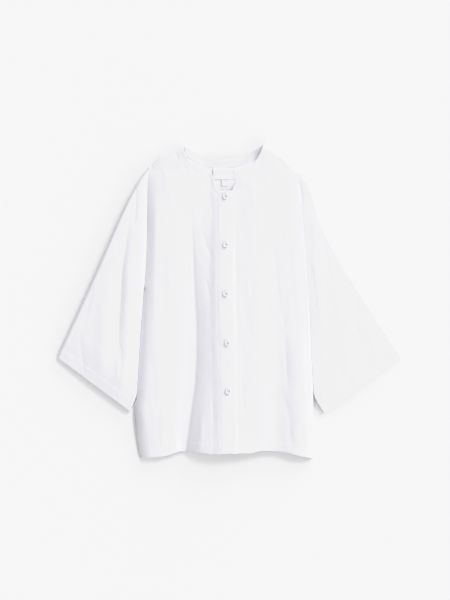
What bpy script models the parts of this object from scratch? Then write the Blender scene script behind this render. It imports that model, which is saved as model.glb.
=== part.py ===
"""A collarless linen blouse laid flat on a table, front side up, with its sleeves brought down beside the body.

Sizes are in millimetres until they are placed. X runs to the viewer's right, Y from the hem to the neck and
Z up from the table. The origin is on the table, under the middle of the blouse. Right and left are the
wearer's, so the right front and the right sleeve lie on the viewer's left, at negative X.
"""

import math

import bmesh
import bpy
import numpy as np

MM = 0.001

# Driving sizes of the garment
CLOTH = 1.5  # wall of the fronts, the back and the sleeves
BAND_CLOTH = 1.2  # folded button band, and the stand under it
SEAM_GAP = 0.6  # clearance where two pieces are sewn edge to edge
SLEEVE_GAP = 2.0  # clearance between a cuff and the side of the body, which narrows to a seam at the armhole
LAYER_GAP = 0.3  # clearance where one piece lies on another
BACK_HEM_INSET = 2.5  # the back's hem lies this far inside the fronts' hem
BAND_WIDTH = 37.0
STAND_INSET = 2.0  # the stand ends this far inside the band's sewn edge
LEFT_FRONT_TUCK = 4.0  # the left front goes this far under the band's free edge
BAND_EASE = 18.0  # width over which the right front climbs to the band
BUTTON_RADIUS = 5.75
BUTTON_THICKNESS = 2.3
LABEL_WIDTH, LABEL_HEIGHT, LABEL_THICKNESS = 50.0, 25.0, 0.8
LABEL_CENTRE = (-11.0, 279.0)
TAB_WIDTH, TAB_LENGTH, TAB_SHIFT = 15.0, 14.0, 1.0  # the tab sits a little to the viewer's right of the label
FACING_DEPTH, FACING_CLOTH = 21.0, 1.0  # the bound band along the inside of the back neck
FACING_EDGE, FACING_END = 1.0, 6.0  # how far the band stays from the neckline and from the neck points
NECK_LIFT, NECK_LIFT_REACH = 4.0, 45.0  # the back neck edge stands this far off the table
NECK_LIFT_MIDDLE, NECK_LIFT_HALF = -12.0, 70.0  # X of the highest place, and how far to each side it reaches
RIM_WIDTH, DISH_DEPTH, BUTTON_EDGE = 1.4, 0.6, 0.6  # a button's raised rim, and the bevel of its edges
SIDE_HEM_Y = -345.0  # hem at the side seams
BAND_HEM_Y, BAND_NECK_Y = -336.0, 244.0  # ends of the button band

FOOT = CLOTH + 2 * LAYER_GAP  # height at which a front's folded edge meets the back

# Plan outlines. Each row is (y, x) going up from the hem, except where the columns are named otherwise.
RIGHT_SIDE = ((-345, -197), (-306, -203.5), (-235, -209), (-207, -204), (-180, -202), (-86, -196.5),
              (24, -188.5))
RIGHT_ARMHOLE = ((24, -188.5), (46, -186), (156, -181), (255, -180), (297, -175))
LEFT_SIDE = ((-345, 184), (-202, 184), (-108, 179), (2, 175))
LEFT_ARMHOLE = ((2, 175), (46, 170.5), (134, 164), (211, 159.5), (260, 155), (292, 152))
BAND_CENTRE = ((-336, -2), (-198, -3.3), (-92, -5), (15, -8.5), (123, -8.5), (245, -9))
BUTTON_Y = (229, 123, 15.5, -92.5, -198)

# Rows of (x, y)
RIGHT_SHOULDER = ((-175, 297), (-153, 317), (-126.5, 332), (-104.5, 343))
LEFT_SHOULDER = ((76, 345), (100, 337), (133, 310), (152, 292))
FRONT_NECK = ((-104.5, 343), (-94, 317), (-78, 298), (-60, 287), (-46, 284), (-39, 280), (-35, 270),
              (-32, 259), (-29, 248), (-24, 242), (-9, 241), (4, 242), (8.5, 249), (11, 260), (13.5, 270),
              (17, 280), (23, 284.5), (34, 287), (49, 299), (63, 317), (76, 345))
BACK_NECK = ((-104.5, 343), (-91, 337.5), (-76, 328), (-56, 318), (-38, 314), (-8, 313.5), (16, 317), (45, 327),
             (62, 336), (76, 345))
FRONT_HEM = ((-197, -345), (-142, -340), (-100, -329), (-65, -332), (-32, -335.5), (1, -334), (45, -333),
             (71.5, -328), (111, -330), (155, -340), (184, -345))

# Lie of the fronts: for sections up the body, where each fold runs (x) and how high it lies (z).
# Columns: right edge, right crest, right panel, crease, crease foot, rise, top of rise, band, band hollow,
# left panel, left hollow, left crest, left edge.
SECTION_Y = (-345, -250, -150, -50, 50, 150, 240, 345)
FOLD_X = ((-197, -157, -124, -99, -91, -64, -34, -3, 26, 60, 101, 148, 184),
          (-209, -155, -122, -87, -79, -54, -32, -3, 27, 60, 101, 150, 184),
          (-200, -157, -120, -76, -69, -48, -31, -4, 27, 60, 104, 150, 181),
          (-194, -160, -118, -74, -67, -47, -30, -7, 25, 60, 102, 146, 177),
          (-187, -162, -120, -79, -72, -50, -30, -8, 23, 58, 98, 142, 172),
          (-181, -160, -122, -83, -77, -54, -32, -9, 22, 58, 94, 138, 163),
          (-180, -158, -124, -86, -79, -56, -32, -9, 22, 58, 92, 134, 157),
          (-175, -154, -124, -90, -82, -58, -34, -9, 22, 58, 90, 128, 152))
FOLD_Z = ((9, 11.5, 11.5, 6, 9, 17.5, 20.5, 21, 19.5, 16, 11.5, 14, 9.5),
          (12.5, 15, 14.5, 9, 11.3, 16.5, 18.5, 19, 18, 17.5, 14, 17.5, 13),
          (12, 15.5, 15, 10.5, 12, 15.8, 17.5, 18, 17, 17.5, 14.8, 17.8, 13),
          (11, 15.5, 15.5, 11.5, 12.7, 15.8, 17.2, 17.5, 16.6, 17.2, 15.2, 17.2, 12),
          (9.8, 15, 15.5, 12.3, 13.1, 15, 16.2, 16.6, 15.9, 16.6, 15.2, 16.6, 11),
          (9.5, 14.5, 15, 13.2, 13.5, 14.2, 14.9, 15.2, 14.7, 15.6, 14.8, 15.5, 10.5),
          (9.5, 14, 14.2, 13.6, 13.4, 13.2, 13.2, 13.5, 14.2, 15.4, 15, 14.6, 10.5),
          (9.5, 12.5, 12.5, 12, 11.8, 11.5, 11.5, 11.5, 15, 17, 16, 13, 10.5))
# Radius of the folded edges, as (y, radius)
SIDE_ROUND = ((-345, 8), (-306, 10), (-235, 14), (-150, 11), (24, 10), (345, 10))
# Softer folds that stand off the sleeves: from one end to the other, and the height and half width of the fold
SLEEVE_FOLDS = (  # (x at top, y at top, x at foot, y at foot, height, half width)
    (-203, 262, -209, -90, 2.6, 9),
    (-228, 170, -233, -200, 2.4, 10),
    (-262, 60, -281, -150, 1.6, 14),
    (184, 240, 199, -60, 2.2, 8),
    (222, 110, 268, -140, 1.8, 13))

# Sleeves: outer fold from the shoulder to the cuff, and underarm seam from the armhole to the cuff, as (x, y)
RIGHT_OUTER = ((-175, 297), (-195, 271), (-217, 233), (-298, 55), (-379.5, -123))
RIGHT_UNDERARM = ((-188.5, 24), (-199, -86), (-206.5, -205), (-219, -242))
LEFT_OUTER = ((152, 292), (177, 251), (201, 175), (232, 114), (309, -10), (379.5, -121))
LEFT_UNDERARM = ((175, 2), (179, -108), (184, -200), (207, -247))
# How high a sleeve's top layer lies, from its outer fold to its underarm seam, down the sleeve
SLEEVE_ACROSS = (0.0, 0.3, 0.55, 0.75, 0.9, 1.0)
SLEEVE_DOWN = (0.0, 0.07, 0.16, 0.35, 0.6, 0.85, 1.0)
SLEEVE_Z = ((10, 10, 10, 10, 10, 10),
            (14.5, 15, 15, 15, 14, 12.5),
            (14, 13, 13, 14.5, 15, 13),
            (12.5, 11.5, 12, 14.5, 15.5, 13),
            (12, 11, 11.5, 14, 15, 12.5),
            (11.5, 11, 11.5, 13, 13.5, 11.5),
            (11, 11.5, 12, 12, 11.5, 10.5))
OUTER_ROUND, UNDERARM_ROUND = (10.0, 5.0), (9.0, 5.0)  # radius of the folded edges at the armhole and the cuff

# A point well inside each half of the body, by its distance from the middle and its lowest and highest Y
CORE_X, CORE_LOW, CORE_HIGH, CORE_STEP = 90.0, -300.0, 230.0, 3.0

# Grid densities
EDGE_STEPS, EDGE_REACH = (0.0, 0.07, 0.28, 0.6, 1.0), 11.0  # shares of the width beside a fold, and that width
PANEL_LENGTH = 640.0  # rounded length of a front, for the spacing of its rows
NECK_COLUMNS_FROM, NECK_COLUMNS_TO = 0.02, 0.985  # a neckline point between these shares gets a column
SHOULDER_COLUMNS, FRONT_ROWS, SHOULDER_POINTS = 5, 27, 9
BACK_COLUMNS, BACK_ROWS, BACK_ROWS_END = 13, 20, 0.92
BACK_TOP_ROWS = (0.945, 0.965, 0.985, 1.0)  # shares up the back, close together where its neck edge lifts
SLEEVE_TOP_COLUMNS, SLEEVE_UNDER_COLUMNS, SLEEVE_ROWS = 11, 7, 10
SLEEVE_HEAD_ROWS, SLEEVE_ROWS_START = (0.0, 0.025, 0.055, 0.09, 0.13), 0.19  # shares down a sleeve
BAND_COLUMNS, BAND_ROWS = 4, 25
FACING_COLUMNS, FACING_ROWS, TAPE_STEPS = 24, 4, 4
BUTTON_SIDES, BUTTON_PROBES = 20, 12


def slopes_through(stations, values):
    """Slopes that carry a smooth curve through the values without overshooting any of them."""
    steps = np.diff(stations)
    rates = np.diff(values) / steps
    slopes = np.zeros(len(values))
    slopes[0], slopes[-1] = rates[0], rates[-1]
    same_way = rates[:-1] * rates[1:] > 0
    before, after = 2 * steps[1:] + steps[:-1], steps[1:] + 2 * steps[:-1]
    safe = np.where(same_way, rates[:-1], 1.0), np.where(same_way, rates[1:], 1.0)
    slopes[1:-1] = np.where(same_way, (before + after) / (before / safe[0] + after / safe[1]), 0.0)
    return slopes


def smooth(stations, values, at):
    """The smooth curve through (stations, values), read at one place or several."""
    stations, values = np.asarray(stations, float), np.asarray(values, float)
    at = np.clip(at, stations[0], stations[-1])
    slopes = slopes_through(stations, values)
    k = np.clip(np.searchsorted(stations, at, side="right") - 1, 0, len(stations) - 2)
    width = stations[k + 1] - stations[k]
    s = (at - stations[k]) / width
    rise = values[k + 1] - values[k]
    start, end = slopes[k] * width, slopes[k + 1] * width
    return values[k] + s * (start + s * (3 * rise - 2 * start - end + s * (start + end - 2 * rise)))


def read(rows, at):
    """The smooth curve through a table of (station, value) rows."""
    stations, values = zip(*rows)
    return smooth(stations, values, at)


def along(rows, share):
    """The point that lies this share of the way along a smooth line through (x, y) rows."""
    points = np.array(rows, float)
    lengths = np.concatenate([[0], np.cumsum(np.hypot(*np.diff(points, axis=0).T))])
    at = share * lengths[-1]
    return np.array([smooth(lengths, points[:, 0], at), smooth(lengths, points[:, 1], at)])


def ease(share):
    """A smooth step from 0 to 1."""
    share = np.clip(share, 0.0, 1.0)
    return share * share * (3 - 2 * share)


def fold_height(fold, x, y):
    """How much one soft fold adds to the height at a point: a rounded ridge that fades out at its ends."""
    top, foot, height, half_width = np.array(fold[:2], float), np.array(fold[2:4], float), fold[4], fold[5]
    run = foot - top
    share = float(np.clip((np.array([x, y]) - top) @ run / (run @ run), 0, 1))
    away = math.dist((x, y), top + share * run) / half_width
    return height * math.exp(-away * away) * math.sin(math.pi * min(max(share, 0.02), 0.98)) ** 0.5


def front_height(x, y):
    """How high the fronts' outer face lies above the table, before their edges turn down."""
    fold_x = [smooth(SECTION_Y, column, y) for column in zip(*FOLD_X)]
    fold_z = [smooth(SECTION_Y, column, y) for column in zip(*FOLD_Z)]
    return float(smooth(fold_x, fold_z, x))


def band_edge(y, side):
    """X of the band's sewn edge (side -1) or of its free edge (side 1)."""
    return read(BAND_CENTRE, y) + side * BAND_WIDTH / 2


class Half:
    """One half of the body in plan: its side seam, armhole and shoulder."""

    def __init__(self, side, seam, armhole, shoulder):
        self.side = side
        self.outer = seam + armhole[1:]
        self.shoulder_tip = armhole[-1]
        self.shoulder = shoulder
        places = np.linspace(shoulder[0][0], shoulder[-1][0], SHOULDER_POINTS)
        shoulder_line = [(x, float(read(shoulder, x))) for x in places]
        self.folded = [[(x, y) for y, x in seam], shoulder_line]

    def outer_x(self, y):
        return read(self.outer, y)

    def to_fold(self, x, y):
        """Distance to the nearest folded edge, and the inward direction away from it."""
        core = np.array([self.side * CORE_X, min(max(y, CORE_LOW), CORE_HIGH)])
        here = np.array([x, y])
        nudge = core - here
        inside = here + CORE_STEP * nudge / max(np.hypot(*nudge), 1e-6)
        best, nearest = 1e9, here
        for line in self.folded:
            for a, b in zip(line[:-1], line[1:]):
                a, b = np.array(a), np.array(b)
                share = np.clip((here - a) @ (b - a) / ((b - a) @ (b - a)), 0, 1)
                foot = a + share * (b - a)
                if np.hypot(*(here - foot)) < best:
                    best, nearest = np.hypot(*(here - foot)), foot
        inward = inside - nearest
        return best, inward / max(np.hypot(*inward), 1e-6)

    def faces_at(self, x, y, height):
        """The outer and inner face of the cloth over a point in plan."""
        distance, inward = self.to_fold(x, y)
        radius = float(read(SIDE_ROUND, y))
        share = min(distance / radius, 1.0)
        turn = math.sqrt(max(0.0, 1 - (1 - share) ** 2))
        shift = inward * CLOTH * (1 - share)
        outer = (x, y, FOOT + (height - FOOT) * turn)
        inner = (x + shift[0], y + shift[1], FOOT + (height - CLOTH - FOOT) * turn)
        return outer, inner


RIGHT = Half(-1, RIGHT_SIDE, RIGHT_ARMHOLE, RIGHT_SHOULDER)
LEFT = Half(1, LEFT_SIDE, LEFT_ARMHOLE, LEFT_SHOULDER)


def top_edge(x, neck):
    """Y of the shoulder or the neckline at x."""
    if x < RIGHT_SHOULDER[-1][0]:
        return float(read(RIGHT_SHOULDER, x))
    if x > LEFT_SHOULDER[0][0]:
        return float(read(LEFT_SHOULDER, x))
    return float(read(neck, x))


def make_material(name, colour, roughness):
    """A plain dielectric finish in the piece's own colour, as linear red, green and blue."""
    material = bpy.data.materials.new(name)
    material.use_nodes = True
    shader = material.node_tree.nodes["Principled BSDF"]
    shader.inputs["Base Color"].default_value = (*colour, 1.0)
    shader.inputs["Roughness"].default_value = roughness
    shader.inputs["Metallic"].default_value = 0.0
    return material


def add_object(name, mesh, material, collection):
    made = bpy.data.objects.new(name, mesh)
    mesh.materials.append(material)
    collection.objects.link(made)
    return made


def make_wall(name, outer, inner, material, collection):
    """A closed cloth wall lofted between rows of points on its outer and inner faces, row after row."""
    form = bmesh.new()
    faces = [[[form.verts.new(np.array(p) * MM) for p in row] for row in side] for side in (outer, inner)]
    rows, columns = len(outer), len(outer[0])
    for side, sheet in enumerate(faces):
        for i in range(rows - 1):
            for j in range(columns - 1):
                quad = [sheet[i][j], sheet[i][j + 1], sheet[i + 1][j + 1], sheet[i + 1][j]]
                form.faces.new(quad if side == 0 else quad[::-1])
    top, under = faces
    for j in range(columns - 1):
        form.faces.new([top[0][j + 1], top[0][j], under[0][j], under[0][j + 1]])
        form.faces.new([top[-1][j], top[-1][j + 1], under[-1][j + 1], under[-1][j]])
    for i in range(rows - 1):
        form.faces.new([top[i][0], top[i + 1][0], under[i + 1][0], under[i][0]])
        form.faces.new([top[i + 1][-1], top[i][-1], under[i][-1], under[i + 1][-1]])
    bmesh.ops.recalc_face_normals(form, faces=form.faces)
    mesh = bpy.data.meshes.new(name)
    form.to_mesh(mesh)
    form.free()
    mesh.shade_smooth()
    mesh.set_sharp_from_angle(angle=math.radians(50))
    return add_object(name, mesh, material, collection)


def spread_columns(outer, inner):
    """Shares of the way from a front's outer edge to its inner one.

    They are closer together at the folded edge, and there is one at each point of the neckline.
    """
    def share(x):
        return (x - outer) / (inner - outer)
    neckline = sorted(share(x) for x, _ in FRONT_NECK if NECK_COLUMNS_FROM < share(x) < NECK_COLUMNS_TO)
    edge = [step * EDGE_REACH / abs(inner - outer) for step in EDGE_STEPS]
    return edge + list(np.linspace(edge[-1], neckline[0], SHOULDER_COLUMNS + 1)[1:]) + neckline[1:] + [1.0]


def row_shares(length, count):
    """Shares of the way up a panel, closer together under the shoulder fold."""
    top = [1 - step * EDGE_REACH / length for step in reversed(EDGE_STEPS)]
    return list(np.linspace(0, top[0], count + 1)) + top[1:]


def make_front(name, half, inner_edge, climb, material, collection):
    """One front: a loft of sections across the panel, from the hem to the shoulder and the neckline."""
    tip_x, tip_y = half.shoulder_tip[1], half.shoulder_tip[0]
    seam_x = float(inner_edge(FRONT_NECK[len(FRONT_NECK) // 2][1]))
    shares = spread_columns(tip_x, seam_x)
    outer_rows, inner_rows = [], []
    for up in row_shares(PANEL_LENGTH, FRONT_ROWS):
        outer_row, inner_row = [], []
        for share in shares:
            top_x = tip_x + share * (seam_x - tip_x)
            hem_outer = half.outer_x(SIDE_HEM_Y)
            hem_x = hem_outer + share * (float(inner_edge(BAND_HEM_Y)) - hem_outer)
            low, high = float(read(FRONT_HEM, hem_x)), top_edge(top_x, FRONT_NECK)
            y = low + up * (high - low)
            x = half.outer_x(y) + share * (float(inner_edge(y)) - half.outer_x(y))
            height = front_height(x, y)
            if climb:
                height += climb * float(ease(1 - (inner_edge(y) - x) / BAND_EASE))
            outer, inner = half.faces_at(float(x), y, height)
            outer_row.append(outer)
            inner_row.append(inner)
        outer_rows.append(outer_row)
        inner_rows.append(inner_row)
    return make_wall(name, outer_rows, inner_rows, material, collection)


def make_band(name, left_edge, right_edge, base, thickness, material, collection):
    """A strip up the centre front, between two edges, lying `base` above the fronts' outer face."""
    outer_rows, inner_rows = [], []
    for up in np.linspace(0, 1, BAND_ROWS + 1):
        outer_row, inner_row = [], []
        for share in np.linspace(0, 1, BAND_COLUMNS + 1):
            hem_x, neck_x = (left_edge(end) + share * (right_edge(end) - left_edge(end))
                             for end in (BAND_HEM_Y, BAND_NECK_Y))
            low, high = float(read(FRONT_HEM, hem_x)), top_edge(float(neck_x), FRONT_NECK)
            y = low + up * (high - low)
            x = float(left_edge(y) + share * (right_edge(y) - left_edge(y)))
            under = front_height(x, y) + base
            outer_row.append((x, y, under + thickness))
            inner_row.append((x, y, under))
        outer_rows.append(outer_row)
        inner_rows.append(inner_row)
    return make_wall(name, outer_rows, inner_rows, material, collection)


def back_lift(x, y):
    """How far the back stands off the table near the middle of its neckline."""
    edge = float(read(BACK_NECK, x))
    near = ease(1 - (edge - y) / NECK_LIFT_REACH)
    middle = ease(1 - abs(x - NECK_LIFT_MIDDLE) / NECK_LIFT_HALF)
    return NECK_LIFT * float(near * middle)


def make_back(material, collection):
    """The back: one flat layer on the table, from side seam to side seam and from hem to neckline."""
    left_tip, right_tip = LEFT.shoulder_tip, RIGHT.shoulder_tip
    peaks = (RIGHT_SHOULDER[-1][0], LEFT_SHOULDER[0][0])
    shares = list(np.linspace(0, 1, BACK_COLUMNS + 1))
    for peak in peaks:
        at = (peak - right_tip[1]) / (left_tip[1] - right_tip[1])
        nearest = min(range(1, BACK_COLUMNS), key=lambda i: abs(shares[i] - at))
        shares[nearest] = at
    outer_rows, inner_rows = [], []
    for up in (*np.linspace(0, BACK_ROWS_END, BACK_ROWS + 1), *BACK_TOP_ROWS):
        outer_row, inner_row = [], []
        for share in shares:
            top_x = right_tip[1] + share * (left_tip[1] - right_tip[1])
            hem_x = RIGHT.outer_x(SIDE_HEM_Y) + share * (LEFT.outer_x(SIDE_HEM_Y) - RIGHT.outer_x(SIDE_HEM_Y))
            low = float(read(FRONT_HEM, hem_x)) + BACK_HEM_INSET
            y = low + up * (top_edge(top_x, BACK_NECK) - low)
            x = float(RIGHT.outer_x(y) + share * (LEFT.outer_x(y) - RIGHT.outer_x(y)))
            lift = back_lift(x, y)
            outer_row.append((x, y, lift + CLOTH))
            inner_row.append((x, y, lift))
        outer_rows.append(outer_row)
        inner_rows.append(inner_row)
    return make_wall("back", outer_rows, inner_rows, material, collection)


class Sleeve:
    """A wide sleeve laid flat, folded outside and seamed underneath, in its two layers.

    The layer that shows is raised over the one on the table, and its long edges turn down to meet it, so the
    two make a tube that is open at the armhole and at the cuff.
    """

    def __init__(self, half, outer, underarm, armhole):
        self.half = half
        self.outer, self.underarm = outer, underarm
        self.armhole = [(x, y) for y, x in reversed(armhole)]

    def plan(self, across, down):
        """A point in plan, from outer fold (0) to underarm (1) and from armhole (0) to cuff (1)."""
        fold, seam = along(self.outer, down), along(self.underarm, down)
        start = along(self.armhole, across)
        a, b = np.array(self.outer[0], float), np.array(self.underarm[0], float)
        c, d = np.array(self.outer[-1], float), np.array(self.underarm[-1], float)
        cuff = c + across * (d - c)
        corners = (1 - down) * ((1 - across) * a + across * b) + down * ((1 - across) * c + across * d)
        x, y = (1 - across) * fold + across * seam + (1 - down) * start + down * cuff - corners
        gap = SEAM_GAP + (SLEEVE_GAP - SEAM_GAP) * down
        beside = float(self.half.outer_x(y)) + self.half.side * gap
        return np.array([self.half.side * max(self.half.side * x, self.half.side * beside), y])

    def height(self, across, down, x, y):
        """Height of the layer that shows, before its edges turn down."""
        row = [smooth(SLEEVE_DOWN, column, down) for column in zip(*SLEEVE_Z)]
        return float(smooth(SLEEVE_ACROSS, row, across)) + sum(fold_height(fold, x, y) for fold in SLEEVE_FOLDS)

    def top_row(self, down):
        """One section of the layer that shows: its outer and inner face, from outer fold to underarm."""
        ends = self.plan(0.0, down), self.plan(1.0, down)
        width = np.hypot(*(ends[1] - ends[0]))
        radii = [r[0] + (r[1] - r[0]) * down for r in (OUTER_ROUND, UNDERARM_ROUND)]
        first, last = [radii[0] / width * s for s in EDGE_STEPS], [1 - radii[1] / width * s for s in EDGE_STEPS]
        middle = np.linspace(first[-1], last[-1], SLEEVE_TOP_COLUMNS + 1)[1:-1]
        outer_row, inner_row = [], []
        for across in [*first, *middle, *reversed(last)]:
            share = min(across * width / radii[0], (1 - across) * width / radii[1], 1.0)
            turn = math.sqrt(max(0.0, 1 - (1 - share) ** 2))
            x, y = self.plan(across, down)
            height = self.height(across, down, x, y)
            inset = math.copysign(CLOTH * (1 - share) / width, 0.5 - across)
            outer_row.append((x, y, FOOT + (height - FOOT) * turn))
            inner_row.append((*self.plan(across + inset, down), FOOT + (height - CLOTH - FOOT) * turn))
        return outer_row, inner_row

    def under_row(self, down):
        """One section of the layer on the table: its upper face and its underside."""
        row = [self.plan(across, down) for across in np.linspace(0, 1, SLEEVE_UNDER_COLUMNS + 1)]
        return [(x, y, CLOTH) for x, y in row], [(x, y, 0.0) for x, y in row]

    def make(self, name, material, collection):
        shares = (*SLEEVE_HEAD_ROWS, *np.linspace(SLEEVE_ROWS_START, 1.0, SLEEVE_ROWS - 1))
        for layer, row in (("top", self.top_row), ("under", self.under_row)):
            outer_rows, inner_rows = zip(*(row(down) for down in shares))
            make_wall(f"{name}_{layer}", outer_rows, inner_rows, material, collection)


def make_neck_facing(material, collection):
    """The band along the inside of the back neck, from one neck point to the other."""
    outer_rows, inner_rows = [], []
    for depth in np.linspace(0, 1, FACING_ROWS + 1):
        outer_row, inner_row = [], []
        for x in np.linspace(BACK_NECK[0][0] + FACING_END, BACK_NECK[-1][0] - FACING_END, FACING_COLUMNS + 1):
            y = float(read(BACK_NECK, x)) - FACING_EDGE - FACING_DEPTH * depth
            under = back_lift(x, y) + CLOTH + LAYER_GAP
            outer_row.append((x, y, under + FACING_CLOTH))
            inner_row.append((x, y, under))
        outer_rows.append(outer_row)
        inner_rows.append(inner_row)
    return make_wall("neck_facing", outer_rows, inner_rows, material, collection)


def make_tab(name, centre, width, length, material, collection):
    """A small strip of woven tape that follows the inside of the back."""
    outer_rows, inner_rows = [], []
    for y in np.linspace(centre[1] - length / 2, centre[1] + length / 2, TAPE_STEPS + 1):
        xs = np.linspace(centre[0] - width / 2, centre[0] + width / 2, TAPE_STEPS + 1)
        under = [back_lift(x, y) + CLOTH + LAYER_GAP for x in xs]
        outer_rows.append([(x, y, z + LABEL_THICKNESS) for x, z in zip(xs, under)])
        inner_rows.append([(x, y, z) for x, z in zip(xs, under)])
    return make_wall(name, outer_rows, inner_rows, material, collection)


def make_button(name, y, material, collection):
    """A flat button with a raised rim, turned about its own axis and resting on the band."""
    x = float(read(BAND_CENTRE, y))
    around = [(x, y)] + [(x + BUTTON_RADIUS * math.cos(a), y + BUTTON_RADIUS * math.sin(a))
                         for a in np.linspace(0, 2 * math.pi, BUTTON_PROBES, endpoint=False)]
    band_top = max(front_height(*p) for p in around) + LAYER_GAP + BAND_CLOTH
    rim, dish, edge = BUTTON_RADIUS - RIM_WIDTH, BUTTON_THICKNESS - DISH_DEPTH, BUTTON_RADIUS - BUTTON_EDGE
    profile = ((0.0, dish), (rim - DISH_DEPTH, dish), (rim, BUTTON_THICKNESS), (edge, BUTTON_THICKNESS),
               (BUTTON_RADIUS, BUTTON_THICKNESS - BUTTON_EDGE), (BUTTON_RADIUS, BUTTON_EDGE), (edge, 0.0), (0.0, 0.0))
    form = bmesh.new()
    corners = [form.verts.new((r * MM, 0.0, z * MM)) for r, z in profile]
    for a, b in zip(corners[:-1], corners[1:]):
        form.edges.new((a, b))
    mesh = bpy.data.meshes.new(name)
    form.to_mesh(mesh)
    form.free()
    made = add_object(name, mesh, material, collection)
    turn = made.modifiers.new("turned", "SCREW")
    turn.steps = turn.render_steps = BUTTON_SIDES
    turn.use_merge_vertices = True
    turn.merge_threshold = 1e-5
    made.location = (x * MM, y * MM, (band_top + LAYER_GAP) * MM)
    return made


def main():
    for old in list(bpy.data.objects):
        bpy.data.objects.remove(old)
    blouse = bpy.data.collections.new("linen_blouse")
    bpy.context.scene.collection.children.link(blouse)

    linen = make_material("white_linen", (0.86, 0.86, 0.9), 0.85)
    tape = make_material("woven_tape", (0.9, 0.9, 0.88), 0.7)
    shell = make_material("button_shell", (0.84, 0.83, 0.84), 0.35)

    def right_front_edge(y):
        return band_edge(y, -1) - SEAM_GAP / 2

    def band_start(y):
        return band_edge(y, -1) + SEAM_GAP / 2

    def stand_start(y):
        return band_edge(y, -1) + STAND_INSET

    def free_edge(y):
        return band_edge(y, 1)

    def left_front_edge(y):
        return free_edge(y) - LEFT_FRONT_TUCK

    def stand_end(y):
        return left_front_edge(y) - SEAM_GAP

    make_back(linen, blouse)
    make_neck_facing(linen, blouse)
    make_front("front_right", RIGHT, right_front_edge, LAYER_GAP + BAND_CLOTH, linen, blouse)
    make_front("front_left", LEFT, left_front_edge, 0.0, linen, blouse)
    make_band("button_band", band_start, free_edge, LAYER_GAP, BAND_CLOTH, linen, blouse)
    make_band("button_stand", stand_start, stand_end, -BAND_CLOTH, BAND_CLOTH, linen, blouse)
    Sleeve(RIGHT, RIGHT_OUTER, RIGHT_UNDERARM, RIGHT_ARMHOLE).make("sleeve_right", linen, blouse)
    Sleeve(LEFT, LEFT_OUTER, LEFT_UNDERARM, LEFT_ARMHOLE).make("sleeve_left", linen, blouse)
    make_tab("neck_label", LABEL_CENTRE, LABEL_WIDTH, LABEL_HEIGHT, tape, blouse)
    tab_y = LABEL_CENTRE[1] - LABEL_HEIGHT / 2 - SEAM_GAP - TAB_LENGTH / 2
    make_tab("size_tab", (LABEL_CENTRE[0] + TAB_SHIFT, tab_y), TAB_WIDTH, TAB_LENGTH, tape, blouse)
    for number, y in enumerate(BUTTON_Y, 1):
        make_button(f"button_{number}", y, shell, blouse)


main()
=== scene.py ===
"""The looks of a collarless white linen blouse laid flat, front side up, on a pale floor.

The cloth is laid in millimetres and placed in metres. X runs to the viewer's right, Y from the hem to the
neck and Z up from the floor. Right and left are the wearer's, so the right front lies at negative X.
"""

import math

import bmesh
import bpy
import numpy as np
from mathutils import Matrix, Vector, noise


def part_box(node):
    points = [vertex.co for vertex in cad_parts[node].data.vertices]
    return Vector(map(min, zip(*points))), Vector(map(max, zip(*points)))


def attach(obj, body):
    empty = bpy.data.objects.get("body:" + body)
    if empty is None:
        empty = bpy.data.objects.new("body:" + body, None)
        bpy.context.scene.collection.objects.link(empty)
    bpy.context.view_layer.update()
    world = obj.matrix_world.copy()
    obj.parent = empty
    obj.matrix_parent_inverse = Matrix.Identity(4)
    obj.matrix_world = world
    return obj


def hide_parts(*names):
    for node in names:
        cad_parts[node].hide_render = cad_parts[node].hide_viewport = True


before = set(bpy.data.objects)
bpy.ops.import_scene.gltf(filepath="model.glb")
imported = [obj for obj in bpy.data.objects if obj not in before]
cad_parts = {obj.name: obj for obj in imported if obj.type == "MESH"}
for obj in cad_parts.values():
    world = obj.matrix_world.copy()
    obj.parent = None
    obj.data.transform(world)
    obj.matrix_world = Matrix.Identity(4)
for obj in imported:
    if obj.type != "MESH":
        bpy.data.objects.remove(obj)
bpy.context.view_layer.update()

MM = 0.001

# Thicknesses of cloth, and heights where it lies
SHEET = 0.8  # one layer of linen with the air in its weave
HEM_CLOTH = 1.7  # three layers, where the cloth is turned under twice
NECK_TURNED = 0.4  # share of the hem's extra thickness that the turned neckline has
BAND_CLOTH, FACING_CLOTH, LABEL_CLOTH = 1.2, 0.6, 0.45
LAYER_GAP = 0.3
BACK_TOP = 0.9  # height of the back's inner face
SEAM_FOOT = 1.0  # height at which a front's folded edge meets the back

# Seams, turnings and the places of the small pieces
SEAM = 0.05  # half the gap between two pieces that are sewn edge to edge
SLEEVE_GAP = 0.15  # gap between a sleeve and the body at the cuff
BACK_HEM_INSET = 2.5
FOLD_CLEAR = 9.0  # within this distance of a fold the turned layers thin out
HEM_TURN, CUFF_TURN, NECK_TURN = 22.0, 24.0, 7.0
SEWN_IN = 1.5  # a turned edge is sewn this far from the end of the turning
BAND_WIDTH, BAND_EASE, BAND_SEWN = 37.0, 18.0, 2.4
STAND_INSET, LEFT_FRONT_TUCK = 2.0, 4.0
FACING_DEPTH, FACING_END, FACING_EDGE, FACING_SEWN = 21.0, 6.0, 1.0, 2.2
LABEL_CENTRE, LABEL_SIZE = (-11.0, 279.0), (50.0, 25.0)
TAB_CENTRE, TAB_SIZE = (-10.0, 258.9), (15.0, 14.0)
LABEL_FOLD, LABEL_SEWN = 5.0, 2.0
LABEL_CLEAR = 1.0  # a label's rows of stitches end this far from its edge
LABEL_STITCHES = (2.2, 1.8)  # pitch and length

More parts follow.
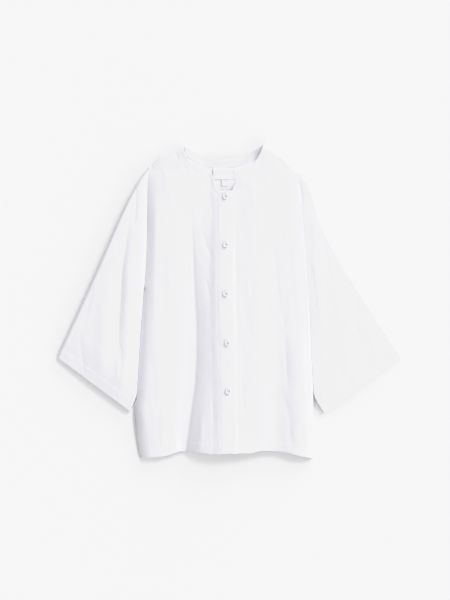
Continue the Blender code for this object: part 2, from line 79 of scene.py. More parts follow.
# How the back stands off the floor at the neck. Its neckline is lifted in the middle, and the cloth below
# swells up inside the neck opening, as (distance below the neckline, height) and (x, share of that height).
NECK_LIFT, NECK_LIFT_REACH, NECK_LIFT_MIDDLE, NECK_LIFT_HALF = 4.0, 45.0, -12.0, 70.0
NECK_SWELL = ((0, 0), (15, 5.5), (30, 11.0), (55, 11.0), (75, 9.4), (100, 5), (140, 0))
SWELL_ACROSS = ((-122, 0), (-94, 0.6), (-60, 0.95), (-40, 1), (40, 1), (62, 0.6), (90, 0))

# Plan of the blouse. Rows are (y, x) going up from the hem.
RIGHT_SIDE = ((-345, -197), (-306, -203.5), (-235, -209), (-207, -204), (-180, -202), (-86, -196.5),
              (24, -188.5))
RIGHT_ARMHOLE = ((24, -188.5), (46, -186), (156, -181), (255, -180), (297, -175))
LEFT_SIDE = ((-345, 184), (-202, 184), (-108, 179), (2, 175))
LEFT_ARMHOLE = ((2, 175), (46, 170.5), (134, 164), (211, 159.5), (260, 155), (292, 152))
BAND_CENTRE = ((-336, -2), (-198, -3.3), (-92, -5), (15, -8.5), (123, -8.5), (245, -9))
BUTTON_COUNT = 5
HEM_Y, BAND_HEM_Y, BAND_NECK_Y, NOTCH_Y = -345.0, -336.0, 244.0, 242.0

# Rows of (x, y)
RIGHT_SHOULDER = ((-175, 297), (-153, 317), (-126.5, 332), (-104.5, 343))
LEFT_SHOULDER = ((76, 345), (100, 337), (133, 310), (152, 292))
FRONT_NECK = ((-104.5, 343), (-94, 317), (-78, 298), (-60, 287), (-46, 284), (-39, 280), (-35, 270),
              (-32, 259), (-29, 248), (-24, 242), (-9, 241), (4, 242), (8.5, 249), (11, 260), (13.5, 270),
              (17, 280), (23, 284.5), (34, 287), (49, 299), (63, 317), (76, 345))
BACK_NECK = ((-104.5, 343), (-91, 337.5), (-76, 328), (-56, 318), (-38, 314), (-8, 313.5), (16, 317),
             (45, 327), (62, 336), (76, 345))
FRONT_HEM = ((-197, -345), (-142, -340), (-100, -329), (-65, -332), (-32, -335.5), (1, -334), (45, -333),
             (71.5, -328), (111, -330), (155, -340), (184, -345))

# Lie of the fronts: for sections up the body, where each fold runs (x) and how high it lies (z).
# Columns: right edge, right crest, right panel, crease, crease foot, rise, top of rise, band, band hollow,
# left panel, left hollow, left crest, left edge.
SECTION_Y = (-345, -250, -150, -50, 50, 150, 240, 345)
FOLD_X = ((-197, -157, -124, -99, -91, -64, -34, -3, 26, 60, 101, 148, 184),
          (-209, -155, -122, -87, -79, -54, -32, -3, 27, 60, 101, 150, 184),
          (-200, -157, -120, -76, -69, -48, -31, -4, 27, 60, 104, 150, 181),
          (-194, -160, -118, -74, -67, -47, -30, -7, 25, 60, 102, 146, 177),
          (-187, -162, -120, -79, -72, -50, -30, -8, 23, 58, 98, 142, 172),
          (-181, -160, -122, -83, -77, -54, -32, -9, 22, 58, 94, 138, 163),
          (-180, -158, -124, -86, -79, -56, -32, -9, 22, 58, 92, 134, 157),
          (-175, -154, -124, -90, -82, -58, -34, -9, 22, 58, 90, 128, 152))
FOLD_Z = ((9, 11.5, 11.5, 6, 9, 17.5, 20.5, 21, 19.5, 16, 11.5, 14, 9.5),
          (12.5, 15, 14.5, 9, 11.3, 16.5, 18.5, 19, 18, 17.5, 14, 17.5, 13),
          (12, 15.5, 15, 10.5, 12, 15.8, 17.5, 18, 17, 17.5, 14.8, 17.8, 13),
          (11, 15.5, 15.5, 11.5, 12.7, 15.8, 17.2, 17.5, 16.6, 17.2, 15.2, 16.4, 13),
          (9.8, 15, 15.5, 12.3, 13.1, 15, 16.2, 16.6, 15.9, 16.6, 15.2, 15.8, 13),
          (9.5, 14.5, 15, 13.2, 13.5, 14.2, 14.9, 15.2, 14.7, 15.6, 14.8, 15, 12.5),
          (9.5, 12.5, 13.8, 13.6, 13.4, 13.2, 13.2, 13.5, 14.2, 15, 14.6, 13.8, 12),
          (7, 8, 10.5, 15, 15.8, 17.5, 17.5, 16, 14, 11.5, 12, 11.5, 10.5))
# How far the side seams stand off the floor, as (y, height): the sleeves push them up
RIGHT_SEAM_RISE = ((-345, 0), (-245, 0), (-185, 4.5), (10, 4.5), (60, 0), (345, 0))
LEFT_SEAM_RISE = ((-345, 0), (-250, 0), (-190, 7), (10, 8.5), (70, 0), (345, 0))
RISE_REACH = 9.0  # how far in from the seam the lower layers are lifted
# Radius of the folded edges, as (y, radius): soft on the right side, and tight on the left side, where the
# sleeve lies against it
RIGHT_ROUND = ((-345, 24), (-306, 26), (-200, 22), (-100, 18), (24, 10), (240, 12), (292, 30),
               (345, 40))
LEFT_ROUND = ((-345, 14), (-260, 12), (-200, 6), (-150, 3.0), (24, 3.0), (120, 8), (240, 12), (345, 18))
# Soft folds down the sleeves, as (x at top, y at top, x at foot, y at foot, height, half width)
SLEEVE_FOLDS = (
    (-201, 262, -208, -90, 0.8, 13),
    (-222, 170, -228, -200, 1.0, 12),
    (-262, 60, -281, -150, 1.0, 18),
    (186, 200, 203, -70, 0.8, 13),
    (222, 110, 268, -140, 0.8, 17))

# Sleeves: outer fold from the shoulder to the cuff, and underarm seam from the armhole to the cuff, as (x, y)
RIGHT_OUTER = ((-175, 297), (-195, 271), (-217, 233), (-298, 55), (-379.5, -123))
RIGHT_UNDERARM = ((-188.5, 24), (-196.6, -86), (-204.2, -205), (-219, -242))
LEFT_OUTER = ((152, 292), (177, 251), (201, 175), (232, 114), (309, -10), (379.5, -121))
LEFT_UNDERARM = ((175, 2), (179, -108), (184, -200), (207, -247))
# How high a sleeve's top layer lies, from its outer fold to its underarm seam, down the sleeve
SLEEVE_ACROSS = (0.0, 0.3, 0.55, 0.75, 0.9, 1.0)
SLEEVE_DOWN = (0.0, 0.07, 0.16, 0.35, 0.6, 0.85, 1.0)
RIGHT_SLEEVE_Z = ((10.6, 10.6, 10.6, 10.6, 10.6, 10.6),
                  (12.3, 12.5, 12.4, 12.2, 12, 11.8),
                  (12.8, 13.4, 13.4, 13.2, 12.9, 12.6),
                  (12, 14, 14.6, 14.2, 13.6, 13.2),
                  (11, 13.6, 14.8, 14.4, 13.3, 12.5),
                  (9.5, 12, 13.5, 13.5, 12, 11),
                  (6.5, 8, 9, 9, 8.5, 8))
LEFT_SLEEVE_Z = ((11.5, 12, 12, 12, 12, 12),
                 (11.5, 12, 12, 12, 12, 12),
                 (11, 12, 12, 12, 11.7, 11.5),
                 (10, 11.5, 12, 12, 11.7, 11.5),
                 (9, 11, 12, 12, 11.7, 11.5),
                 (7.5, 9.5, 11, 11.3, 11.3, 10.5),
                 (5, 6.5, 7.5, 8, 8, 8))
# Radius of a sleeve's folded edges, at the armhole and at the cuff
OUTER_ROUND, UNDERARM_ROUND = (12.0, 6.0), (1.5, 1.0)
# How far in from its folded edges a sleeve's underside comes down to the floor, and its creases begin
UNDER_ROUND, UNDER_CLEAR = 3.0, 12.0

# Creases pressed or crushed into the top layers, each as (points as x and y from the neck end, height,
# width towards the viewer's left, width towards the right). A negative height is a trough.
CREASES = (
    (((-86, 240), (-83.6, 174), (-78, 4), (-73.7, -90), (-76.6, -185), (-83.6, -231), (-91, -277),
      (-99, -338)), -0.9, 1.6, 7.0),
    (((-97, 120), (-95, 30), (-92, -60)), 0.5, 5.0, 4.0),
    (((-62, 160), (-56, 135), (-46, 108), (-34, 86)), -0.55, 2.0, 7.0),
    (((-54, 52), (-48, 28), (-43, 2)), -0.5, 2.0, 6.0),
    (((-48, 212), (-44, 190), (-43, 170)), 0.4, 3.0, 4.0),
    (((-38, -212), (-36, -245), (-35, -275)), -0.5, 2.5, 6.0),
    (((-122, 330), (-116, 318), (-112, 305)), -0.8, 1.8, 3.0),
    (((-101, 296), (-95, 288), (-90, 294)), -0.6, 1.5, 2.5),
    (((-150, 305), (-140, 270), (-137, 225)), 0.5, 5.0, 6.0),
    (((-138, 150), (-133, 60), (-136, -50)), 0.35, 6.0, 7.0),
    (((-172, -120), (-165, -190), (-168, -250)), -0.5, 3.0, 8.0),
    (((-150, -230), (-146, -280), (-150, -335)), 0.6, 5.0, 6.0),
    (((-120, -250), (-117, -290), (-124, -338)), -0.5, 3.0, 6.0),
    (((-64, -240), (-62, -290), (-68, -335)), 0.4, 4.0, 5.0),
    (((12, 170), (16, 0), (21, -140)), -0.55, 3.5, 6.0),
    (((24, -150), (28, -200), (31, -245)), -0.6, 3.0, 6.0),
    (((95, 132), (103, 60), (109, -8)), -0.5, 3.0, 7.0),
    (((114, -18), (118, -45), (121, -62)), -0.5, 2.5, 5.0),
    (((119, -62), (124, -140), (128, -210)), -0.6, 2.5, 7.0),
    (((120, -205), (131, -260), (136, -335)), -0.8, 6.0, 12.0),
    (((60, 120), (58, 40), (62, -50)), 0.3, 7.0, 8.0),
    (((70, -150), (66, -230), (72, -330)), 0.35, 6.0, 6.0),
    (((98, 330), (110, 308), (128, 288)), -0.8, 6.0, 8.0),
    (((150, 268), (157, 236), (160, 212)), -0.8, 3.0, 5.0),
    (((46, 270), (52, 240), (50, 200)), 0.4, 5.0, 5.0),
    (((141, 130), (146, 40), (152, -60)), 0.4, 4.0, 6.0),
    (((-205, 268), (-205, 225), (-207, 180), (-209, 150)), -1.8, 16.0, 7.0),
    (((-181, 285), (-181, 240), (-183, 190), (-185, 150), (-186, 120)), -0.7, 15.0, 8.0),
    (((-215, 225), (-221, 165), (-228, 115), (-236, 55), (-239, 0), (-242, -60), (-243, -115),
      (-245, -150)), -2.2, 22.0, 11.0),
    (((-240, -92), (-238, -120), (-240, -142)), -0.5, 2.0, 5.0),
    (((-246, -120), (-245, -150), (-249, -180)), 0.6, 4.0, 4.0),
    (((-290, 60), (-300, 0), (-312, -60)), 0.4, 5.0, 7.0),
    (((-330, -60), (-325, -110), (-318, -160)), -0.4, 4.0, 6.0),
    (((181, 150), (190, 40), (203, -72)), 0.4, 7.0, 8.0),
    (((234, 72), (240, 30), (245, -8)), -0.6, 12.0, 7.0),
    (((222, -110), (250, -160), (282, -204)), -0.5, 11.0, 12.0),
    (((205, 150), (214, 90), (226, 30)), -0.4, 3.0, 5.0),
    (((300, -60), (318, -100), (322, -140)), 0.5, 5.0, 6.0),
    (((262, -30), (282, -70), (300, -105)), -0.4, 4.0, 6.0))
# Creases on the side that lies on the floor, which only lift the cloth
UNDER_CREASES = (
    (((-120, 250), (-110, 60), (-118, -140)), 0.5, 3.0, 6.0),
    (((-40, 120), (-30, -60), (-46, -300)), 0.45, 3.0, 5.0),
    (((62, 220), (70, 40), (64, -90)), 0.5, 4.0, 5.0),
    (((118, -20), (126, -150), (112, -320)), 0.55, 3.0, 6.0),
    (((-232, 150), (-250, 20), (-268, -120)), 0.5, 3.0, 5.0),
    (((-300, 10), (-296, -60), (-318, -130)), 0.4, 4.0, 5.0),
    (((202, 140), (230, 30), (252, -120)), 0.5, 3.0, 6.0),
    (((286, -20), (292, -80), (316, -140)), 0.4, 4.0, 5.0))

# How rounded a crease is along its middle, the share of its length over which either end fades, and how
# much of it is left at the ends
CREASE_BEND, CREASE_FADE, CREASE_LEFT = 0.9, 0.3, 0.04
# Crumple of washed linen: (height, size across, size along, ridged), and how far the ridges stand up, as a
# share of the height
CRUMPLE = ((0.3, 24.0, 60.0, True), (0.09, 9.0, 15.0, False))
RIDGE_TOP = 0.35

# Lengths of the neckline and of an armhole, for the puckers along them, and depths of the armholes' grooves
NECK_RUN, ARMHOLE_RUN = 330.0, 280.0
ARMHOLE_GROOVES = (0.5, 0.3)

# Rough sizes of the pieces, which their grids' steps are counted on, and the steps
FRONT_LENGTH, BAND_LENGTH = 640.0, 580.0
BACK_WIDTH, BACK_LENGTH = 380.0, 680.0
SLEEVE_WIDTH, SLEEVE_LENGTH = 200.0, 420.0
THREAD_STEP, BAND_STEP, HEM_STEP = 2.2, 1.5, 1.6
# Shares of a rounded edge's radius at which its grid has lines, even round the bend
ROUND_SHARES = tuple(1 - math.cos(math.radians(a)) for a in (0, 10, 22, 34, 46, 58, 69, 80, 90))

# Stitching
STITCH_PITCH, STITCH_LENGTH, THREAD_RADIUS, STITCH_RAISED = 3.0, 2.5, 0.17, 0.04
ABOVE, BELOW = 0.2, -0.05  # heights in metres, clear of the blouse, from which the cloth is looked for
HOLE_RADIUS, HOLE_OFFSET = 0.75, 1.25  # a button's four holes

# View and light
PHOTO_HEIGHT_MM = 1320.0  # height of the floor that the picture takes in
CAMERA_HEIGHT, SENSOR = 3.5, 36.0
CAMERA_AIM = (-9.9, 2.2)  # point of the floor in the middle of the picture
# Broad lights from the upper and the lower right of the picture, as (azimuth from +X towards +Y, elevation,
# spread, share of the light on the floor), with the angles in degrees
KEYS = ((51.0, 19.5, 46.0, 0.32), (-38.0, 16.0, 50.0, 0.15))
FLOOR_LIGHT = 1.045  # brings the floor to the photograph's tone, just under white
# Tone curve, as (light in, light out)
SHOULDER = ((0.0, 0.0), (0.775, 0.86), (0.825, 0.882), (0.925, 0.896), (0.972, 0.923), (1.0, 0.93))


def slopes_through(stations, values):
    """Slopes that carry a smooth curve through the values without overshooting any of them."""
    steps = np.diff(stations, axis=0)
    rates = np.diff(values, axis=0) / steps
    slopes = np.zeros_like(values)
    slopes[0], slopes[-1] = rates[0], rates[-1]
    same_way = rates[:-1] * rates[1:] > 0
    before, after = 2 * steps[1:] + steps[:-1], steps[1:] + 2 * steps[:-1]
    first, second = np.where(same_way, rates[:-1], 1.0), np.where(same_way, rates[1:], 1.0)
    slopes[1:-1] = np.where(same_way, (before + after) / (before / first + after / second), 0.0)
    return slopes


def smooth(stations, values, at):
    """The smooth curve through (stations, values), read at each place.

    Stations and values are single columns, or have a column of their own for each place.
    """
    at = np.atleast_1d(np.asarray(at, float))
    tables = [np.asarray(rows, float) for rows in (stations, values)]
    stations, values = (rows if rows.ndim == 2 else rows[:, None] + np.zeros(len(at)) for rows in tables)
    at = np.clip(at, stations[0], stations[-1])
    slopes = slopes_through(stations, values)
    k = np.clip((stations <= at).sum(axis=0) - 1, 0, len(stations) - 2)

    def pick(rows, index):
        return np.take_along_axis(rows, index[None, :], axis=0)[0]
    start_station, start_value = pick(stations, k), pick(values, k)
    width = pick(stations, k + 1) - start_station
    rise = pick(values, k + 1) - start_value
    s = (at - start_station) / width
    start, end = pick(slopes, k) * width, pick(slopes, k + 1) * width
    return start_value + s * (start + s * (3 * rise - 2 * start - end + s * (start + end - 2 * rise)))


def read(rows, at):
    """The smooth curve through a table of (station, value) rows."""
    stations, values = zip(*rows)
    return smooth(stations, values, at)


def run_lengths(points):
    """The way to each point of a line from the line's start."""
    return np.concatenate([[0], np.cumsum(np.hypot(*np.diff(points, axis=0).T))])


def along(rows, share):
    """The points that lie these shares of the way along a smooth line through (x, y) rows."""
    points = np.array(rows, float)
    lengths = run_lengths(points)
    at = np.atleast_1d(share) * lengths[-1]
    return np.column_stack([smooth(lengths, points[:, 0], at), smooth(lengths, points[:, 1], at)])


def ease(share):
    """A smooth step from 0 to 1."""
    share = np.clip(share, 0.0, 1.0)
    return share * share * (3 - 2 * share)


def from_line(points, x, y):
    """Distance of each place from a line of points, and the share of the way along it.

    The distance is positive to the left of someone who goes along the line from its start to its end.
    """
    points = np.asarray(points, float)
    starts = run_lengths(points)
    best, signed, share = np.full(x.shape, 1e9), np.zeros(x.shape), np.zeros(x.shape)
    for (ax, ay), (bx, by), length, start in zip(points[:-1], points[1:], np.diff(starts), starts):
        run_x, run_y = (bx - ax) / length, (by - ay) / length
        at = np.clip((x - ax) * run_x + (y - ay) * run_y, 0, length)
        away_x, away_y = x - ax - at * run_x, y - ay - at * run_y
        distance = np.hypot(away_x, away_y)
        side = np.sign(run_x * away_y - run_y * away_x)
        nearer = distance < best
        best = np.where(nearer, distance, best)
        signed = np.where(nearer, distance * np.where(side == 0, 1, side), signed)
        share = np.where(nearer, (start + at) / starts[-1], share)
    return signed, share


def creased(creases, x, y):
    """Height that a table of creases adds. Each is narrow and rounded, and fades out at its ends."""
    height = np.zeros(x.shape)
    for points, depth, left, right in creases:
        line = along(points, np.linspace(0, 1, 6 * len(points)))
        reach = 5 * max(left, right)
        low, high = line.min(axis=0) - reach, line.max(axis=0) + reach
        near = (x > low[0]) & (x < high[0]) & (y > low[1]) & (y < high[1])
        if not near.any():
            continue
        signed, share = from_line(line, x[near], y[near])
        width = np.where(signed < 0, left, right)
        away = np.hypot(signed, CREASE_BEND) - CREASE_BEND
        fade = ease(share / CREASE_FADE) * ease((1 - share) / CREASE_FADE) + CREASE_LEFT
        height[near] += depth * fade * np.exp(-away / width)
    return height


def crumpled(x, y, seed=0.0):
    """The uneven surface of washed linen that was laid without ironing, a little stretched up the body."""
    height = np.zeros(x.shape)
    for rise, across, length, ridged in CRUMPLE:
        grain = np.array([noise.noise(Vector((a, b, seed + rise))) for a, b in zip(x / across, y / length)])
        height += rise * (RIDGE_TOP - np.abs(grain) if ridged else grain)
    return height


def band_edge(y, side):
    """X of the band's sewn edge (side -1) or of its free edge (side 1)."""
    return read(BAND_CENTRE, y) + side * BAND_WIDTH / 2


def rolled(to_edge, depth, reach):
    """How far cloth curls down near its edge."""
    return depth * np.exp(-np.maximum(to_edge, 0) / reach)


def pulled_in(to_row, depth, width):
    """How far a row of stitches pulls the cloth down beside it."""
    return depth * np.exp(-(to_row / width) ** 2)


def turned_edge(distance, width):
    """Height that an edge turned under and sewn adds to the cloth over it, from the distance to the edge."""
    raised = 0.3 * ease((width + SEWN_IN - distance) / 4.0)
    return raised - pulled_in(distance - width + SEWN_IN, 0.2, 1.3) - rolled(distance, 0.25, 0.8)


def puckered(distance, run, pitch=9.0, height=0.1, reach=5.0):
    """Small puckers that run out from a seam, unevenly spaced along it."""
    wander = 1.7 * np.sin(run / 23.0)
    return height * np.sin(2 * math.pi * run / pitch + wander) * np.exp(-np.abs(distance) / reach)


NECK_X = np.linspace(FRONT_NECK[0][0], FRONT_NECK[-1][0], 120)
NECK_LINE = np.column_stack([NECK_X, read(FRONT_NECK, NECK_X)])
# How far the neckline has sunk towards the back, and how far into the front that dip reaches, both after the
# share of the neckline's length from the right shoulder
NECK_SETTLE = ((0, 0), (0.1, 1.2), (0.42, 1.6), (0.47, 1), (0.55, 1), (0.6, 2), (0.85, 2), (1, 0))
SETTLE_REACH = ((0, 24), (0.42, 20), (0.47, 4), (0.55, 4), (0.6, 20), (1, 24))
ARMHOLES = [np.array([(x, y) for y, x in rows[::-1]], float) for rows in (RIGHT_ARMHOLE, LEFT_ARMHOLE)]
BODY_MIDDLE = (ARMHOLES[0][0, 0] + ARMHOLES[1][0, 0]) / 2
BODY_HALF = 200.0  # the hem lies within this distance of the middle, and the cuffs don't


def top_relief(x, y):
    """What sewing, creases and crumple add to the height of the layers that show on top."""
    signed, share = from_line(NECK_LINE, x, y)
    neck = turned_edge(np.abs(signed), NECK_TURN) + puckered(signed, share * NECK_RUN, 7.0)
    neck -= read(NECK_SETTLE, share) * np.exp(-np.abs(signed) / read(SETTLE_REACH, share))
    above_hem = y - read(FRONT_HEM, x)
    hem = turned_edge(above_hem, HEM_TURN) + puckered(above_hem - HEM_TURN, x)
    hem = np.where(np.abs(x - BODY_MIDDLE) < BODY_HALF, hem, 0.0)
    seams = np.zeros(x.shape)
    for armhole, depth in zip(ARMHOLES, ARMHOLE_GROOVES):
        away, run = from_line(armhole, x, y)
        seams += puckered(away, run * ARMHOLE_RUN) - rolled(np.abs(away), depth, 1.6)
    return creased(CREASES, x, y) + crumpled(x, y) + neck + hem + seams


def front_height(x, y):
    """How high the fronts' outer face lies above the floor, before their edges turn down."""
    fold_x = np.array([smooth(SECTION_Y, column, y) for column in zip(*FOLD_X)])
    fold_z = np.array([smooth(SECTION_Y, column, y) for column in zip(*FOLD_Z)])
    return smooth(fold_x, fold_z, x)


class Half:
    """One half of the body in plan: its side seam, armhole and shoulder."""

    def __init__(self, side, seam, armhole, shoulder, rounding, rise):
        self.side, self.rounding, self.rise = side, rounding, rise
        self.outer = seam + armhole[1:]
        self.tip_x = armhole[-1][1]
        shoulder_x = np.linspace(shoulder[0][0], shoulder[-1][0], 9)
        self.folded = [[(x, y) for y, x in seam], np.column_stack([shoulder_x, read(shoulder, shoulder_x)])]

    def outer_x(self, y):
        return read(self.outer, y)

    def from_fold(self, x, y):
        """Distance from the side seam or the shoulder, whichever is nearer."""
        return np.min([np.abs(from_line(line, x, y)[0]) for line in self.folded], axis=0)

    def turn(self, x, y):
        """How far the cloth has come up out of its folded edge, from 0 on the edge to 1 on the flat."""
        share = np.minimum(self.from_fold(x, y) / read(self.rounding, y), 1.0)
        return np.sqrt(np.maximum(0.0, 1 - (1 - share) ** 2))

    def seam_lift(self, away, y):
        """How far a lower layer is lifted at this distance from the side seam."""
        return read(self.rise, y) * np.exp(-away / RISE_REACH)


RIGHT = Half(-1, RIGHT_SIDE, RIGHT_ARMHOLE, RIGHT_SHOULDER, RIGHT_ROUND, RIGHT_SEAM_RISE)
LEFT = Half(1, LEFT_SIDE, LEFT_ARMHOLE, LEFT_SHOULDER, LEFT_ROUND, LEFT_SEAM_RISE)


def top_edge(x, neck):
    """Y of the shoulder or the neckline at x."""
    shoulders = np.where(x < 0, read(RIGHT_SHOULDER, x), read(LEFT_SHOULDER, x))
    beside = (x < RIGHT_SHOULDER[-1][0]) | (x > LEFT_SHOULDER[0][0])
    return np.where(beside, shoulders, read(neck, x))


def linear(hex_colour):
    """An sRGB hex colour as linear red, green and blue with full alpha."""
    parts = [int(hex_colour[i:i + 2], 16) / 255 for i in (0, 2, 4)]
    return (*(p / 12.92 if p <= 0.04045 else ((p + 0.055) / 1.055) ** 2.4 for p in parts), 1.0)


def node(tree, kind, inputs=None, **settings):
    """A node with its settings, and its inputs as values or as the sockets that feed them."""
    made = tree.nodes.new(kind)
    for name, value in settings.items():
        setattr(made, name, value)
    for socket, value in (inputs or {}).items():
        if isinstance(value, bpy.types.NodeSocket):
            tree.links.new(value, made.inputs[socket])
        else:
            made.inputs[socket].default_value = value
    return made


def new_material(name, roughness, **sockets):
    """A material and its shader, with the constants on the shader's own sockets."""
    material = bpy.data.materials.new(name)
    material.use_nodes = True
    shader = material.node_tree.nodes["Principled BSDF"]
    shader.inputs["Roughness"].default_value = roughness
    for socket, value in sockets.items():
        shader.inputs[socket.replace("_", " ")].default_value = value
    return material, material.node_tree, shader


def band_scale(spacing_mm):
    """Scale of a Wave texture whose bands are this far apart."""
    return 2 * math.pi / 20 / (spacing_mm * MM)


def woven(name, light, dark, pitch, slub_length, roughness, sheen, relief):
    """Plain weave along the piece's own threads, which go over and under each other and are unevenly thick.

    The eye sees a matt cloth with a faint net of threads, and longer thick threads, or slubs, both ways.
    """
    material, tree, shader = new_material(name, roughness, Sheen_Weight=sheen, Sheen_Roughness=0.6, IOR=1.46)
    threads = node(tree, "ShaderNodeUVMap", uv_map="threads").outputs["UV"]
    weave = {"Vector": threads, "Scale": band_scale(2 * pitch), "Distortion": 0.6, "Detail": 1.0,
             "Detail Scale": 0.3}
    signed = []
    for way in ("X", "Y"):
        wave = node(tree, "ShaderNodeTexWave", weave, wave_type="BANDS", bands_direction=way,
                    wave_profile="SIN")
        inputs = {0: wave.outputs["Fac"], 1: 2.0, 2: -1.0}
        signed.append(node(tree, "ShaderNodeMath", inputs, operation="MULTIPLY_ADD").outputs[0])
    crossing = node(tree, "ShaderNodeMath", dict(enumerate(signed)), operation="MULTIPLY").outputs[0]
    slub_width = pitch * 1.6
    slubs = []
    for narrow, long in ((slub_width, slub_length), (slub_length, slub_width)):
        scale = (1 / narrow / MM, 1 / long / MM, 1.0)
        spread = node(tree, "ShaderNodeMapping", {"Vector": threads, "Scale": scale})
        inputs = {"Vector": spread.outputs["Vector"], "Scale": 1.0, "Detail": 2.0, "Roughness": 0.55}
        slubs.append(node(tree, "ShaderNodeTexNoise", inputs).outputs["Fac"])
    thick = node(tree, "ShaderNodeMath", dict(enumerate(slubs)), operation="ADD").outputs[0]
    tone = node(tree, "ShaderNodeMapRange", {"Value": thick, "From Min": 0.7, "From Max": 1.3})
    colour = node(tree, "ShaderNodeMix", {0: tone.outputs["Result"], 6: linear(dark), 7: linear(light)},
                  data_type="RGBA")
    tree.links.new(colour.outputs[2], shader.inputs["Base Color"])
    fine = node(tree, "ShaderNodeBump", {"Height": crossing, "Strength": 0.25, "Distance": relief * MM})
    uneven = node(tree, "ShaderNodeBump", {"Height": thick, "Strength": 0.35, "Distance": 2.2 * relief * MM,
                                           "Normal": fine.outputs["Normal"]})
    return material, tree, shader, threads, uneven


def linen_material(name, light, dark):
    """Washed white linen, 0.6 mm between threads: matt, a little blue, with slubs and fine crinkles."""
    material, tree, shader, threads, uneven = woven(name, light, dark, 0.6, 26.0, 0.88, 0.12, 0.09)
    scale = (1 / 5.0 / MM, 1 / 9.0 / MM, 1.0)
    stretch = node(tree, "ShaderNodeMapping", {"Vector": threads, "Scale": scale})
    crinkle = node(tree, "ShaderNodeTexNoise", {"Vector": stretch.outputs["Vector"], "Scale": 1.0,
                                                "Detail": 3.0, "Roughness": 0.6, "Distortion": 0.4})
    washed = node(tree, "ShaderNodeBump", {"Height": crinkle.outputs["Fac"], "Strength": 0.4,
                                           "Distance": 0.35 * MM, "Normal": uneven.outputs["Normal"]})
    tree.links.new(washed.outputs["Normal"], shader.inputs["Normal"])
    return material


def tape_material(name, light, dark, pitch, sheen):
    """A closely woven tape: finer threads than the linen, a flatter face and more sheen."""
    material, tree, shader, _, uneven = woven(name, light, dark, pitch, 12.0, 0.6, sheen, 0.04)
    tree.links.new(uneven.outputs["Normal"], shader.inputs["Normal"])
    return material


def thread_material():
    """Spun polyester sewing thread: white, slightly shiny, twisted about every 0.5 mm."""
    material, tree, shader = new_material("spun_polyester_thread", 0.5, Sheen_Weight=0.2)
    place = node(tree, "ShaderNodeTexCoord").outputs["Object"]
    twist = node(tree, "ShaderNodeTexWave", {"Vector": place, "Scale": band_scale(0.5)}, wave_type="BANDS",
                 bands_direction="DIAGONAL")
    colour = node(tree, "ShaderNodeMix", {0: twist.outputs["Fac"], 6: linear("DCDBE0"), 7: linear("E4E3E9")},
                  data_type="RGBA")
    tree.links.new(colour.outputs[2], shader.inputs["Base Color"])
    ridged = node(tree, "ShaderNodeBump", {"Height": twist.outputs["Fac"], "Strength": 0.4,
                                           "Distance": 0.05 * MM})
    tree.links.new(ridged.outputs["Normal"], shader.inputs["Normal"])
    return material


def shell_material():
    """Polished mother-of-pearl: pale grey-white, glossy, with cloudy growth bands a few millimetres wide."""
    material, tree, shader = new_material("polished_mother_of_pearl", 0.28, IOR=1.53, Coat_Weight=0.25,
                                          Coat_Roughness=0.15)
    place = node(tree, "ShaderNodeTexCoord").outputs["Object"]
    growth = node(tree, "ShaderNodeTexWave", {"Vector": place, "Scale": band_scale(4.0), "Distortion": 7.0,
                                              "Detail": 2.0, "Detail Scale": 1.5},
                  wave_type="BANDS", bands_direction="DIAGONAL")
    colour = node(tree, "ShaderNodeMix", {0: growth.outputs["Fac"], 6: linear("DEDDE2"), 7: linear("E9E8EC")},
                  data_type="RGBA")
    tree.links.new(colour.outputs[2], shader.inputs["Base Color"])
    layered = node(tree, "ShaderNodeBump", {"Height": growth.outputs["Fac"], "Strength": 0.15,
                                            "Distance": 0.05 * MM})
    tree.links.new(layered.outputs["Normal"], shader.inputs["Normal"])
    return material


def floor_material():
    """Matt white board, with a barely uneven tone."""
    material, tree, shader = new_material("matt_white_board", 0.9, Specular_IOR_Level=0.1)
    place = node(tree, "ShaderNodeTexCoord").outputs["Object"]
    cloud = node(tree, "ShaderNodeTexNoise", {"Vector": place, "Scale": 1.5, "Detail": 1.0})
    colour = node(tree, "ShaderNodeMix", {0: cloud.outputs["Fac"], 6: linear("F6F6F6"), 7: linear("F7F7F7")},
                  data_type="RGBA")
    tree.links.new(colour.outputs[2], shader.inputs["Base Color"])
    return material


def linked(name, data):
    """Data as an object of the scene."""
    made = bpy.data.objects.new(name, data)
    bpy.context.scene.collection.objects.link(made)
    return made


def add_object(name, form, material=None):
    """A bmesh as an object of the scene, and smooth if its material is given."""
    mesh = bpy.data.meshes.new(name)
    form.to_mesh(mesh)
    form.free()
    if material:
        mesh.materials.append(material)
        mesh.shade_smooth()
    return linked(name, mesh)


def keep_piece(made, slot, *replaced):
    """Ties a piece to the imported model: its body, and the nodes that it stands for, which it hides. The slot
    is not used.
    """
    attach(made, "root")
    if replaced:
        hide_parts(*replaced)
    return made


def baked(name, rough, material):
    """The object's evaluated mesh as a plain object of that name, with its hard edges marked."""
    bpy.context.view_layer.update()
    evaluated = rough.evaluated_get(bpy.context.evaluated_depsgraph_get())
    mesh = bpy.data.meshes.new_from_object(evaluated)
    bpy.data.objects.remove(rough)
    mesh.materials.clear()
    mesh.materials.append(material)
    mesh.shade_smooth()
    mesh.set_sharp_from_angle(angle=math.radians(48))
    return linked(name, mesh)


